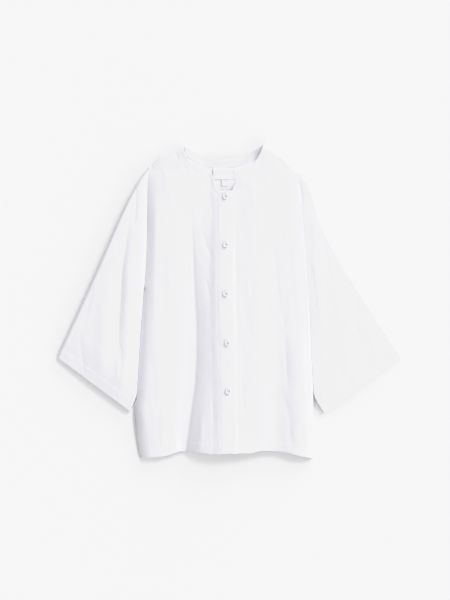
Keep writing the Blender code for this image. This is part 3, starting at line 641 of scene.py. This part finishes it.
def lay_cloth(name, across, up, place, material, thin=SHEET, thick=SHEET):
    """A cloth piece: a grid bent to its place, and given its thickness on its inner side.

    `place` turns the shares across and up into points and thread coordinates in millimetres, and into the
    share of the thick wall at each point. A grid whose first and last columns meet closes into a tube.
    """
    form = bmesh.new()
    bmesh.ops.create_grid(form, x_segments=len(across) - 1, y_segments=len(up) - 1, size=0.5)
    flat = np.array([vert.co for vert in form.verts]) + 0.5
    columns = np.rint(flat[:, 0] * (len(across) - 1)).astype(int)
    rows = np.rint(flat[:, 1] * (len(up) - 1)).astype(int)
    points, threads, turned = place(np.asarray(across)[columns], np.asarray(up)[rows])
    weave = form.loops.layers.uv.new("threads")
    amount = form.verts.layers.deform.verify()
    for vert, point, share in zip(form.verts, points, turned):
        vert.co = Vector(point) * MM
        vert[amount][0] = float(share)
    for face in form.faces:
        for corner in face.loops:
            corner[weave].uv = threads[corner.vert.index] * MM
    bmesh.ops.remove_doubles(form, verts=form.verts, dist=0.01 * MM)
    form.normal_update()
    highest = max(form.faces, key=lambda face: face.calc_center_median().z)
    if highest.normal.z < 0:
        bmesh.ops.reverse_faces(form, faces=form.faces)
    rough = add_object(name + "_form", form)
    rough.vertex_groups.new(name="turned")
    wall = rough.modifiers.new("wall", "SOLIDIFY")
    wall.thickness, wall.offset = thick * MM, -1.0
    wall.vertex_group, wall.thickness_vertex_group = "turned", thin / thick
    wall.use_quality_normals = True
    return baked(name, rough, material)


def steps_between(start, end, length, step):
    """Even shares from start to end, about `step` apart on a run of this length, without the first one."""
    count = max(1, round(abs(end - start) * length / step))
    return list(np.linspace(start, end, count + 1)[1:])


def front_columns(width, round_reach=11.0, fine_reach=40.0, fine_step=1.2):
    """Shares across a front, close together on its folded edge and beside the button band."""
    edge = [share * round_reach / width for share in ROUND_SHARES]
    fine_from = 1 - fine_reach / width
    middle = steps_between(edge[-1], fine_from, width, THREAD_STEP)
    return edge + middle + steps_between(fine_from, 1.0, width, fine_step)


def front_rows(length, round_reach=11.0):
    """Shares up a front, close together in the hem and under the shoulder fold."""
    hem_end = (HEM_TURN + 6) / length
    top = [1 - share * round_reach / length for share in reversed(ROUND_SHARES)]
    hem = [0.0, 0.4 / length, 1.0 / length, *steps_between(2.0 / length, hem_end, length, HEM_STEP)]
    return hem + steps_between(hem_end, top[0], length, THREAD_STEP) + top[1:]


def lay_front(name, half, inner_edge, climb, material):
    """One front, from the hem to the shoulder and the neckline."""
    seam_x = inner_edge(NOTCH_Y)[0]

    def place(across, up):
        top_x = half.tip_x + across * (seam_x - half.tip_x)
        hem_outer = half.outer_x(HEM_Y)[0]
        hem_x = hem_outer + across * (inner_edge(BAND_HEM_Y)[0] - hem_outer)
        low, high = read(FRONT_HEM, hem_x), top_edge(top_x, FRONT_NECK)
        y = low + up * (high - low)
        outer, inner = half.outer_x(y) - half.side * SEAM, inner_edge(y)
        x = outer + across * (inner - outer)
        height = front_height(x, y) + climb * ease(1 - (inner - x) / BAND_EASE) + top_relief(x, y)
        foot = SEAM_FOOT + read(half.rise, y)
        z = foot + (height - foot) * half.turn(x, y)
        threads = np.column_stack([x + half.side * (height - z), y])
        neck_distance = np.abs(from_line(NECK_LINE, x, y)[0])
        turned = np.where(y - low < HEM_TURN, 1.0, np.where(neck_distance < NECK_TURN, NECK_TURNED, 0.0))
        return np.column_stack([x, y, z]), threads, turned * ease(half.from_fold(x, y) / FOLD_CLEAR)

    across = front_columns(abs(seam_x - half.tip_x))
    return lay_cloth(name, across, front_rows(FRONT_LENGTH), place, material, SHEET, HEM_CLOTH)


def lay_band(name, left_edge, right_edge, base, step, material):
    """A folded strip up the centre front, whose outer face lies this far above the fronts' outer face."""
    def place(across, up):
        hem_x, neck_x = (left_edge(y) + across * (right_edge(y) - left_edge(y))
                         for y in (BAND_HEM_Y, BAND_NECK_Y))
        low, high = read(FRONT_HEM, hem_x), top_edge(neck_x, FRONT_NECK)
        y = low + up * (high - low)
        left, right = left_edge(y), right_edge(y)
        x = left + across * (right - left)
        to_edge = np.minimum(x - left, right - x)
        z = front_height(x, y) + base + top_relief(x, y) + puckered(to_edge, y, 6.5, 0.08)
        z -= rolled(to_edge, 0.45, 0.9) + pulled_in(to_edge - BAND_SEWN, 0.28, 1.1)
        return np.column_stack([x, y, z]), np.column_stack([x, y]), np.ones(len(x))

    across = [0, 0.01, 0.025, *steps_between(0.025, 0.975, BAND_WIDTH, step), 0.99, 1]
    up = [0, *steps_between(0, 1, BAND_LENGTH, step)]
    return lay_cloth(name, across, up, place, material, BAND_CLOTH, BAND_CLOTH)


def back_lift(x, y):
    """How far the back stands off the floor at the neck."""
    below = read(BACK_NECK, x) - y
    near = ease(1 - below / NECK_LIFT_REACH)
    swell = read(NECK_SWELL, below) * read(SWELL_ACROSS, x)
    return NECK_LIFT * near * ease(1 - np.abs(x - NECK_LIFT_MIDDLE) / NECK_LIFT_HALF) + swell


def back_surface(x, y):
    """Height of the back's inner face, which shows through the neck opening."""
    under = np.maximum(0.0, creased(UNDER_CREASES, x, y) + 0.4 * crumpled(x, y, 4.0))
    return back_lift(x, y) + BACK_TOP + under


def lay_back(material):
    """The back: one layer on the floor, from side seam to side seam and from hem to neckline."""
    def place(across, up):
        top_x = RIGHT.tip_x + across * (LEFT.tip_x - RIGHT.tip_x)
        hem_right, hem_left = RIGHT.outer_x(HEM_Y)[0], LEFT.outer_x(HEM_Y)[0]
        low = read(FRONT_HEM, hem_right + across * (hem_left - hem_right)) + BACK_HEM_INSET
        y = low + up * (top_edge(top_x, BACK_NECK) - low)
        right, left = RIGHT.outer_x(y) + SEAM, LEFT.outer_x(y) - SEAM
        x = right + across * (left - right)
        z = back_surface(x, y) + RIGHT.seam_lift(x - right, y) + LEFT.seam_lift(left - x, y)
        return np.column_stack([x, y, z]), np.column_stack([x, y]), np.ones(len(x))

    neck_from = 0.86  # the rows are finer above this share, which shows inside the neck
    lower = steps_between(0, neck_from, BACK_LENGTH, 5.0)
    upper = steps_between(neck_from, 1.0, BACK_LENGTH, 2.4)
    across = [0, *steps_between(0, 1, BACK_WIDTH, 3.6)]
    return lay_cloth("linen_back", across, [0, *lower, *upper], place, material)


class Sleeve:
    """A wide sleeve laid flat: a tube from the armhole to the cuff, folded outside and seamed underneath."""

    def __init__(self, half, outer, underarm, armhole, heights):
        self.half, self.heights = half, heights
        self.outer, self.underarm = outer, underarm
        self.armhole = [(x, y) for y, x in reversed(armhole)]
        self.cuff_line = np.array([outer[-1], underarm[-1]], float)
        run = self.cuff_line[1] - self.cuff_line[0]
        self.grain = math.atan2(run[1], run[0])

    def plan(self, across, down):
        """Points in plan, from outer fold (0) to underarm (1) and from armhole (0) to cuff (1)."""
        corners = (self.outer[0], self.underarm[0], self.outer[-1], self.underarm[-1])
        a, b, c, d = (np.array(corner, float) for corner in corners)
        over, under = across[:, None], down[:, None]
        straight = (1 - under) * ((1 - over) * a + over * b) + under * ((1 - over) * c + over * d)
        points = (1 - over) * along(self.outer, down) + over * along(self.underarm, down)
        points += (1 - under) * along(self.armhole, across) + under * (c + over * (d - c)) - straight
        x, y = points.T
        beside = self.half.outer_x(y) + self.half.side * (SEAM + (SLEEVE_GAP - SEAM) * down)
        return self.half.side * np.maximum(self.half.side * x, self.half.side * beside), y

    def top(self, across, down):
        """Height of the top layer before its edges turn down."""
        rows = np.array([smooth(SLEEVE_DOWN, column, down) for column in zip(*self.heights)])
        return smooth(SLEEVE_ACROSS, rows, across)

    def place(self, around, down):
        """The tube's outer face: around runs over the top from 0 to 1, and back underneath from 1 to 2."""
        across = np.where(around > 1, 2 - around, around)
        x, y = self.plan(across, down)
        ends = [np.column_stack(self.plan(np.full(down.shape, edge), down)) for edge in (0.0, 1.0)]
        width = np.hypot(*(ends[1] - ends[0]).T)
        radii = [r[0] + (r[1] - r[0]) * down for r in (OUTER_ROUND, UNDERARM_ROUND)]
        from_edge = np.minimum(across, 1 - across) * width
        share = np.minimum(np.minimum(across * width / radii[0], (1 - across) * width / radii[1]), 1.0)
        turn = np.sqrt(np.maximum(0.0, 1 - (1 - share) ** 2))
        folds = sum(fold_height(fold, x, y) for fold in SLEEVE_FOLDS)
        cuff = np.abs(from_line(self.cuff_line, x, y)[0])
        hem = turned_edge(cuff, CUFF_TURN) + puckered(cuff - CUFF_TURN, across * width)
        height = self.top(across, down) + folds + top_relief(x, y) + hem
        rise = np.where(across > 0.5, read(self.half.rise, y), 0.0)
        edge_z = SEAM_FOOT + rise
        over = edge_z + (height - edge_z) * turn
        creases = np.maximum(0.0, creased(UNDER_CREASES, x, y) + 0.4 * crumpled(x, y, 9.0))
        under = SEAM_FOOT * (1 - ease(from_edge / UNDER_ROUND)) + creases * ease(from_edge / UNDER_CLEAR)
        under += rise * np.exp(-from_edge / RISE_REACH)
        z = np.where(around > 1, under, over)
        turned_under = np.abs(np.where(around > 1, 0.0, height - over))
        cos, sin = math.cos(self.grain), math.sin(self.grain)
        side = np.where(across < 0.5, -1.0, 1.0)
        threads = np.column_stack([x * cos + y * sin + side * turned_under, y * cos - x * sin])
        turned = np.where(cuff < CUFF_TURN, ease(from_edge / FOLD_CLEAR), 0.0)
        return np.column_stack([x, y, z]), threads, turned

    def lay(self, name, material):
        """The whole tube, finer on top than underneath."""
        width = SLEEVE_WIDTH
        fold = [share * OUTER_ROUND[0] / width for share in ROUND_SHARES]
        seam = [1 - share * UNDERARM_ROUND[0] / width for share in reversed(ROUND_SHARES)]
        over = fold + steps_between(fold[-1], seam[0], width, THREAD_STEP) + seam[1:]
        under = [1.005, 1.015, *steps_between(1.015, 1.985, width, 4.5), 1.995, 2.0]
        down = [0, 0.002, 0.005, *steps_between(0.005, 0.994, SLEEVE_LENGTH, THREAD_STEP), 0.998, 1.0]
        return lay_cloth(name, over + under, down, self.place, material, SHEET, HEM_CLOTH)


def fold_height(fold, x, y):
    """How much one soft fold adds to the height: a rounded ridge that fades out at its ends."""
    top_x, top_y, foot_x, foot_y, height, half_width = fold
    away, share = from_line([(top_x, top_y), (foot_x, foot_y)], x, y)
    return height * np.exp(-(away / half_width) ** 2) * np.sin(math.pi * np.clip(share, 0.02, 0.98)) ** 0.5


def lay_facing(material):
    """The folded linen band along the inside of the back neck."""
    left, right = BACK_NECK[0][0] + FACING_END, BACK_NECK[-1][0] - FACING_END

    def place(across, up):
        x = left + across * (right - left)
        y = read(BACK_NECK, x) - FACING_EDGE - FACING_DEPTH * (1 - up)
        to_edge = np.minimum(up, 1 - up) * FACING_DEPTH
        z = back_surface(x, y) + LAYER_GAP + FACING_CLOTH + puckered(to_edge, x, 6.0)
        z -= rolled(to_edge, 0.2, 0.9) + pulled_in(to_edge - FACING_SEWN, 0.15, 1.0)
        return np.column_stack([x, y, z]), np.column_stack([y, x]), np.ones(len(x))

    across = [0, *steps_between(0, 1, right - left, 1.6)]
    up = [0, 0.03, *steps_between(0.03, 0.97, FACING_DEPTH, 1.1), 1]
    return lay_cloth("linen_neck_facing", across, up, place, material, FACING_CLOTH, FACING_CLOTH)


def lay_label(name, centre, size, fold, material):
    """A bare woven label whose two ends, or top edge, are folded under and stitched down."""
    def place(across, up):
        x, y = centre[0] + (across - 0.5) * size[0], centre[1] + (up - 0.5) * size[1]
        folded = np.minimum(across, 1 - across) * size[0] if fold == "ends" else (1 - up) * size[1]
        to_edge = np.minimum(np.minimum(across, 1 - across) * size[0], np.minimum(up, 1 - up) * size[1])
        raised = 0.35 * ease((LABEL_FOLD - folded) / 1.5) - pulled_in(folded - LABEL_SEWN, 0.2, 0.9)
        curled = 0.25 * (1 - to_edge / max(size)) * np.sin(across * 5.0 + up * 3.0)
        z = back_surface(x, y) + LAYER_GAP + 0.7 + raised + curled - rolled(to_edge, 0.25, 0.5)
        return np.column_stack([x, y, z]), np.column_stack([x, y]), np.ones(len(x))

    across, up = ([0, 0.01, *steps_between(0.01, 0.99, side, 0.8), 1] for side in size)
    return lay_cloth(name, across, up, place, material, LABEL_CLOTH, LABEL_CLOTH)


def stitch(form, at, way, up, length, radius):
    """One stitch: a small long grain of thread that lies along the way."""
    across = up.cross(way).normalized()
    turn = Matrix((way, across, way.cross(across))).transposed().to_4x4()
    shape = Matrix.Diagonal((length / 2 * MM, radius * MM, radius * 0.8 * MM, 1.0))
    bmesh.ops.create_icosphere(form, subdivisions=1, radius=1.0, matrix=Matrix.Translation(at) @ turn @ shape)


def sew(form, cloth, line, pitch=STITCH_PITCH, length=STITCH_LENGTH, from_below=False):
    """A row of stitches along a line of (x, y) points, on top of a piece of cloth or on its underside."""
    lengths = run_lengths(line)
    start_z, way, raised = (BELOW, (0, 0, 1), 0.0) if from_below else (ABOVE, (0, 0, -1), STITCH_RAISED)
    for k in range(int(lengths[-1] // pitch)):
        ends = []
        for part in (0.35, 0.65):
            x, y = (np.interp((k + part) * pitch, lengths, line[:, i]) * MM for i in (0, 1))
            found, place, normal, _ = cloth.ray_cast((x, y, start_z), way)
            if found:
                ends.append((place, normal))
        if len(ends) == 2:
            (a, normal), (b, _) = ends
            middle = (a + b) / 2 + normal * raised * MM
            stitch(form, middle, (b - a).normalized(), normal, length, THREAD_RADIUS)


def sewn_piece(name, rows, material):
    """All stitches of some rows, each row as the cloth that it lies on and its line, as one piece."""
    form = bmesh.new()
    for row in rows:
        sew(form, *row)
    return keep_piece(add_object(name, form, material), "white_linen")


def hem_line(start, end, above):
    """A line this far above the front hem, between two places across."""
    x = np.linspace(start, end, 80)
    return np.column_stack([x, read(FRONT_HEM, x) + above])


def neck_line(start, end, inset):
    """The neckline moved this far into the cloth, between two shares of its length."""
    middle = np.column_stack([np.gradient(NECK_LINE[:, 0]), np.gradient(NECK_LINE[:, 1])])
    middle /= np.hypot(*middle.T)[:, None]
    moved = NECK_LINE + np.column_stack([middle[:, 1], -middle[:, 0]]) * inset
    first, last = round(start * (len(moved) - 1)), round(end * (len(moved) - 1))
    return moved[first:last + 1]


def upright(edge, inset, low, high):
    """A line up the body, this far from an edge that is given as a function of y."""
    y = np.linspace(low, high, 60)
    return np.column_stack([edge(y) + inset, y])


def cuff_line(sleeve, inset, start=0.03, end=0.97):
    """A line across the sleeve, this far from its cuff."""
    (ax, ay), (bx, by) = sleeve.cuff_line
    run = np.array([bx - ax, by - ay])
    inward = np.array([-run[1], run[0]]) / np.hypot(*run)
    inward *= np.sign(inward[1])
    share = np.linspace(start, end, 40)[:, None]
    return np.array([ax, ay]) + share * run + inward * inset


def button_form(radius, thickness):
    """A four-hole button: a turned profile with a rolled rim, and its holes cut through."""
    rim, dish = radius - 1.5, thickness - 0.7
    profile = [(0, dish), (rim - 1.0, dish), (rim - 0.3, dish + 0.15), (rim + 0.1, thickness - 0.1),
               (rim + 0.5, thickness), (radius - 0.5, thickness), (radius - 0.12, thickness - 0.18),
               (radius, thickness - 0.5), (radius, 0.6), (radius - 0.2, 0.2), (radius - 0.7, 0.0), (0, 0.0)]
    form = bmesh.new()
    points = [form.verts.new((r * MM, 0, z * MM)) for r, z in profile]
    edges = [form.edges.new(pair) for pair in zip(points[:-1], points[1:])]
    bmesh.ops.spin(form, geom=points + edges, cent=(0, 0, 0), axis=(0, 0, 1), angle=2 * math.pi, steps=56,
                   use_merge=True)
    bmesh.ops.remove_doubles(form, verts=form.verts, dist=0.005 * MM)
    bmesh.ops.recalc_face_normals(form, faces=form.faces)
    holes = bmesh.new()
    for x, y in ((1, 1), (-1, 1), (-1, -1), (1, -1)):
        place = Matrix.Translation((x * HOLE_OFFSET * MM, y * HOLE_OFFSET * MM, 0))
        bmesh.ops.create_cone(holes, cap_ends=True, segments=16, radius1=HOLE_RADIUS * MM,
                              radius2=HOLE_RADIUS * MM, depth=3 * thickness * MM, matrix=place)
    turned, cutter = add_object("button_turned", form), add_object("button_holes", holes)
    cut = turned.modifiers.new("holes", "BOOLEAN")
    cut.operation, cut.object, cut.solver = "DIFFERENCE", cutter, "EXACT"
    return turned, cutter


def make_buttons(material, thread, band):
    """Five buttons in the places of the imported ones, the thread through their holes and their buttonholes."""
    low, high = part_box("button_1")
    radius, thickness = (high.x - low.x) / 2 / MM, (high.z - low.z) / MM
    turned, holes = button_form(radius, thickness)
    pattern = baked("button_pattern", turned, material)
    bpy.data.objects.remove(holes)
    up = Vector((0, 0, 1))
    sewing = bmesh.new()
    for number in range(1, BUTTON_COUNT + 1):
        low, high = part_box(f"button_{number}")
        centre = Vector(((low.x + high.x) / 2, (low.y + high.y) / 2, low.z))
        spin = Matrix.Rotation(math.radians(17 * number - 40), 4, "Z")
        mesh = pattern.data.copy()
        mesh.transform(Matrix.Translation(centre) @ spin)
        keep_piece(linked(f"shell_button_{number}", mesh), "button_shell", f"button_{number}")
        for side in (-1, 1):
            for lay in (-0.28, 0.28):
                at = Vector(((side * HOLE_OFFSET + lay) * MM, 0, (thickness - 0.55) * MM))
                stitch(sewing, centre + spin @ at, spin @ Vector((0, 1, 0)), up, 3.3, 0.26)
        shank = Matrix.Translation(centre - 0.5 * MM * up)
        bmesh.ops.create_cone(sewing, cap_ends=True, segments=12, radius1=1.5 * MM, radius2=1.2 * MM,
                              depth=1.4 * MM, matrix=shank)
        work_buttonhole(sewing, band, centre)
    bpy.data.objects.remove(pattern)
    keep_piece(add_object("button_thread", sewing, thread), "white_linen")


def work_buttonhole(form, band, centre, length=14.5, pitch=0.55):
    """An upright buttonhole: close stitches across each of its lips, and a bar at each end."""
    lips = [(side * 0.95, k * pitch - length / 2, 0.1, 1.7)
            for k in range(int(length / pitch)) for side in (-1, 1)]
    bars = [(0.0, end * (length / 2 + k * 0.3), 0.12, 3.6) for end in (-1, 1) for k in range(3)]
    for across, along_it, raised, long in lips + bars:
        start = (centre.x + across * MM, centre.y + along_it * MM, ABOVE)
        found, place, normal, _ = band.ray_cast(start, (0, 0, -1))
        if found:
            stitch(form, place + normal * raised * MM, Vector((1, 0, 0)), normal, long, 0.25)


def make_floor():
    """A plain pale floor that the blouse lies on."""
    form = bmesh.new()
    bmesh.ops.create_grid(form, x_segments=8, y_segments=8, size=4.0)
    floor = add_object("floor", form, floor_material())
    floor.data.transform(Matrix.Translation((0, 0, -0.2 * MM)))


def shape_tones(view):
    """The camera's tone curve: straight up to the soft shadows, and flatter above, where all is near white."""
    view.view_transform = "Standard"
    view.use_curve_mapping = True
    curves = view.curve_mapping
    curves.extend = "HORIZONTAL"
    points = curves.curves[3].points
    while len(points) < len(SHOULDER):
        points.new(0.5, 0.5)
    for point, place in zip(points, SHOULDER):
        point.location = place
        point.handle_type = "VECTOR"
    curves.update()


def make_light():
    """Two broad, low lights from the right of the picture, and even white light from all round."""
    for number, (*angles, share) in enumerate(KEYS, 1):
        azimuth, elevation, spread = map(math.radians, angles)
        towards = Vector((math.cos(azimuth) * math.cos(elevation), math.sin(azimuth) * math.cos(elevation),
                          math.sin(elevation)))
        light = bpy.data.lights.new(f"key_{number}", "SUN")
        light.energy = FLOOR_LIGHT * share * math.pi / math.sin(elevation)
        light.angle = spread
        key = linked(f"key_{number}", light)
        key.rotation_euler = towards.to_track_quat("Z", "Y").to_euler()
    world = bpy.data.worlds.new("studio")
    world.use_nodes = True
    background = world.node_tree.nodes["Background"]
    background.inputs["Color"].default_value = (1.0, 1.0, 1.0, 1.0)
    background.inputs["Strength"].default_value = FLOOR_LIGHT * (1 - sum(key[-1] for key in KEYS))
    bpy.context.scene.world = world
    shape_tones(bpy.context.scene.view_settings)


def make_camera():
    """A camera straight above the blouse, as in the photograph."""
    lens = bpy.data.cameras.new("camera")
    lens.lens, lens.sensor_width = SENSOR * CAMERA_HEIGHT / (PHOTO_HEIGHT_MM * MM), SENSOR
    lens.clip_start, lens.clip_end = 0.1, 50.0
    camera = linked("camera", lens)
    camera.location = (CAMERA_AIM[0] * MM, CAMERA_AIM[1] * MM, CAMERA_HEIGHT)
    bpy.context.scene.camera = camera


def sewn_edge(y):
    return band_edge(y, -1)


def free_edge(y):
    return band_edge(y, 1)


def main():
    linen = linen_material("washed_linen_plain_weave", "E6E5EB", "E3E2E8")
    # Painted shade: the neck facing's linen is darker than the rest of the cloth, to stand for the shade in the
    # hollow inside the neck opening
    facing_linen_painted_shade = linen_material("washed_linen_facing_painted_shade", "D8D7DC", "D4D3D8")
    thread = thread_material()
    label_tape = tape_material("satin_woven_label_tape", "E7E6EA", "E2E1E5", 0.35, 0.3)

    back = lay_back(linen)
    band_base = LAYER_GAP + BAND_CLOTH
    front_right = lay_front("linen_front_right", RIGHT, lambda y: sewn_edge(y) - SEAM, band_base, linen)
    front_left = lay_front("linen_front_left", LEFT, lambda y: free_edge(y) - LEFT_FRONT_TUCK, 0.0, linen)
    band = lay_band("linen_button_band", lambda y: sewn_edge(y) + SEAM, free_edge, band_base, BAND_STEP,
                    linen)
    stand = lay_band("linen_button_stand", lambda y: sewn_edge(y) + STAND_INSET,
                     lambda y: free_edge(y) - LEFT_FRONT_TUCK - 2 * SEAM, 0.0, 2 * BAND_STEP, linen)
    right_arm = Sleeve(RIGHT, RIGHT_OUTER, RIGHT_UNDERARM, RIGHT_ARMHOLE, RIGHT_SLEEVE_Z)
    left_arm = Sleeve(LEFT, LEFT_OUTER, LEFT_UNDERARM, LEFT_ARMHOLE, LEFT_SLEEVE_Z)
    sleeve_right = right_arm.lay("linen_sleeve_right", linen)
    sleeve_left = left_arm.lay("linen_sleeve_left", linen)
    facing = lay_facing(facing_linen_painted_shade)
    label = lay_label("bare_woven_label", LABEL_CENTRE, LABEL_SIZE, "ends", label_tape)
    tab = lay_label("bare_size_tab", TAB_CENTRE, TAB_SIZE, "top", label_tape)

    keep_piece(back, "white_linen", "back")
    keep_piece(front_right, "white_linen", "front_right")
    keep_piece(front_left, "white_linen", "front_left")
    keep_piece(band, "white_linen", "button_band")
    keep_piece(stand, "white_linen", "button_stand")
    keep_piece(sleeve_right, "white_linen", "sleeve_right_top", "sleeve_right_under")
    keep_piece(sleeve_left, "white_linen", "sleeve_left_top", "sleeve_left_under")
    keep_piece(facing, "neck_tape", "neck_facing")
    keep_piece(label, "woven_label", "neck_label")
    keep_piece(tab, "woven_label", "size_tab")

    make_buttons(shell_material(), thread, band)
    hem_seam, neck_seam, cuff_seam = (turn - SEWN_IN for turn in (HEM_TURN, NECK_TURN, CUFF_TURN))
    sewn_piece("body_stitching", [
        (front_right, hem_line(-193, -22, hem_seam)), (front_left, hem_line(18, 180, hem_seam)),
        (band, hem_line(-19, 15, hem_seam)),
        (front_right, neck_line(0.02, 0.42, neck_seam)), (front_left, neck_line(0.66, 0.98, neck_seam)),
        (band, upright(sewn_edge, BAND_SEWN, -330, 232)), (band, upright(free_edge, -BAND_SEWN, -330, 232)),
        (back, hem_line(-190, 178, hem_seam), STITCH_PITCH, STITCH_LENGTH, True)], thread)
    sewn_piece("cuff_stitching", [
        (cloth, cuff_line(arm, cuff_seam), STITCH_PITCH, STITCH_LENGTH, below)
        for cloth, arm in ((sleeve_right, right_arm), (sleeve_left, left_arm))
        for below in (False, True)], thread)
    facing_x = np.linspace(-94, 66, 60)
    facing_y = read(BACK_NECK, facing_x) - FACING_EDGE
    label_ends = [LABEL_CENTRE[0] + side * (LABEL_SIZE[0] / 2 - LABEL_SEWN) for side in (-1, 1)]
    label_reach, tab_reach = LABEL_SIZE[1] / 2 - LABEL_CLEAR, TAB_SIZE[0] / 2 - LABEL_CLEAR
    label_y = np.linspace(LABEL_CENTRE[1] - label_reach, LABEL_CENTRE[1] + label_reach, 12)
    tab_x = np.linspace(TAB_CENTRE[0] - tab_reach, TAB_CENTRE[0] + tab_reach, 8)
    tab_y = np.full(8, TAB_CENTRE[1] + TAB_SIZE[1] / 2 - LABEL_SEWN)
    sewn_piece("neck_stitching", [
        (facing, np.column_stack([facing_x, facing_y - FACING_DEPTH + FACING_SEWN])),
        (facing, np.column_stack([facing_x, facing_y - FACING_SEWN])),
        *((label, np.column_stack([np.full(12, x), label_y]), *LABEL_STITCHES) for x in label_ends),
        (tab, np.column_stack([tab_x, tab_y]), *LABEL_STITCHES)], thread)

    make_floor()
    make_light()
    make_camera()


main()
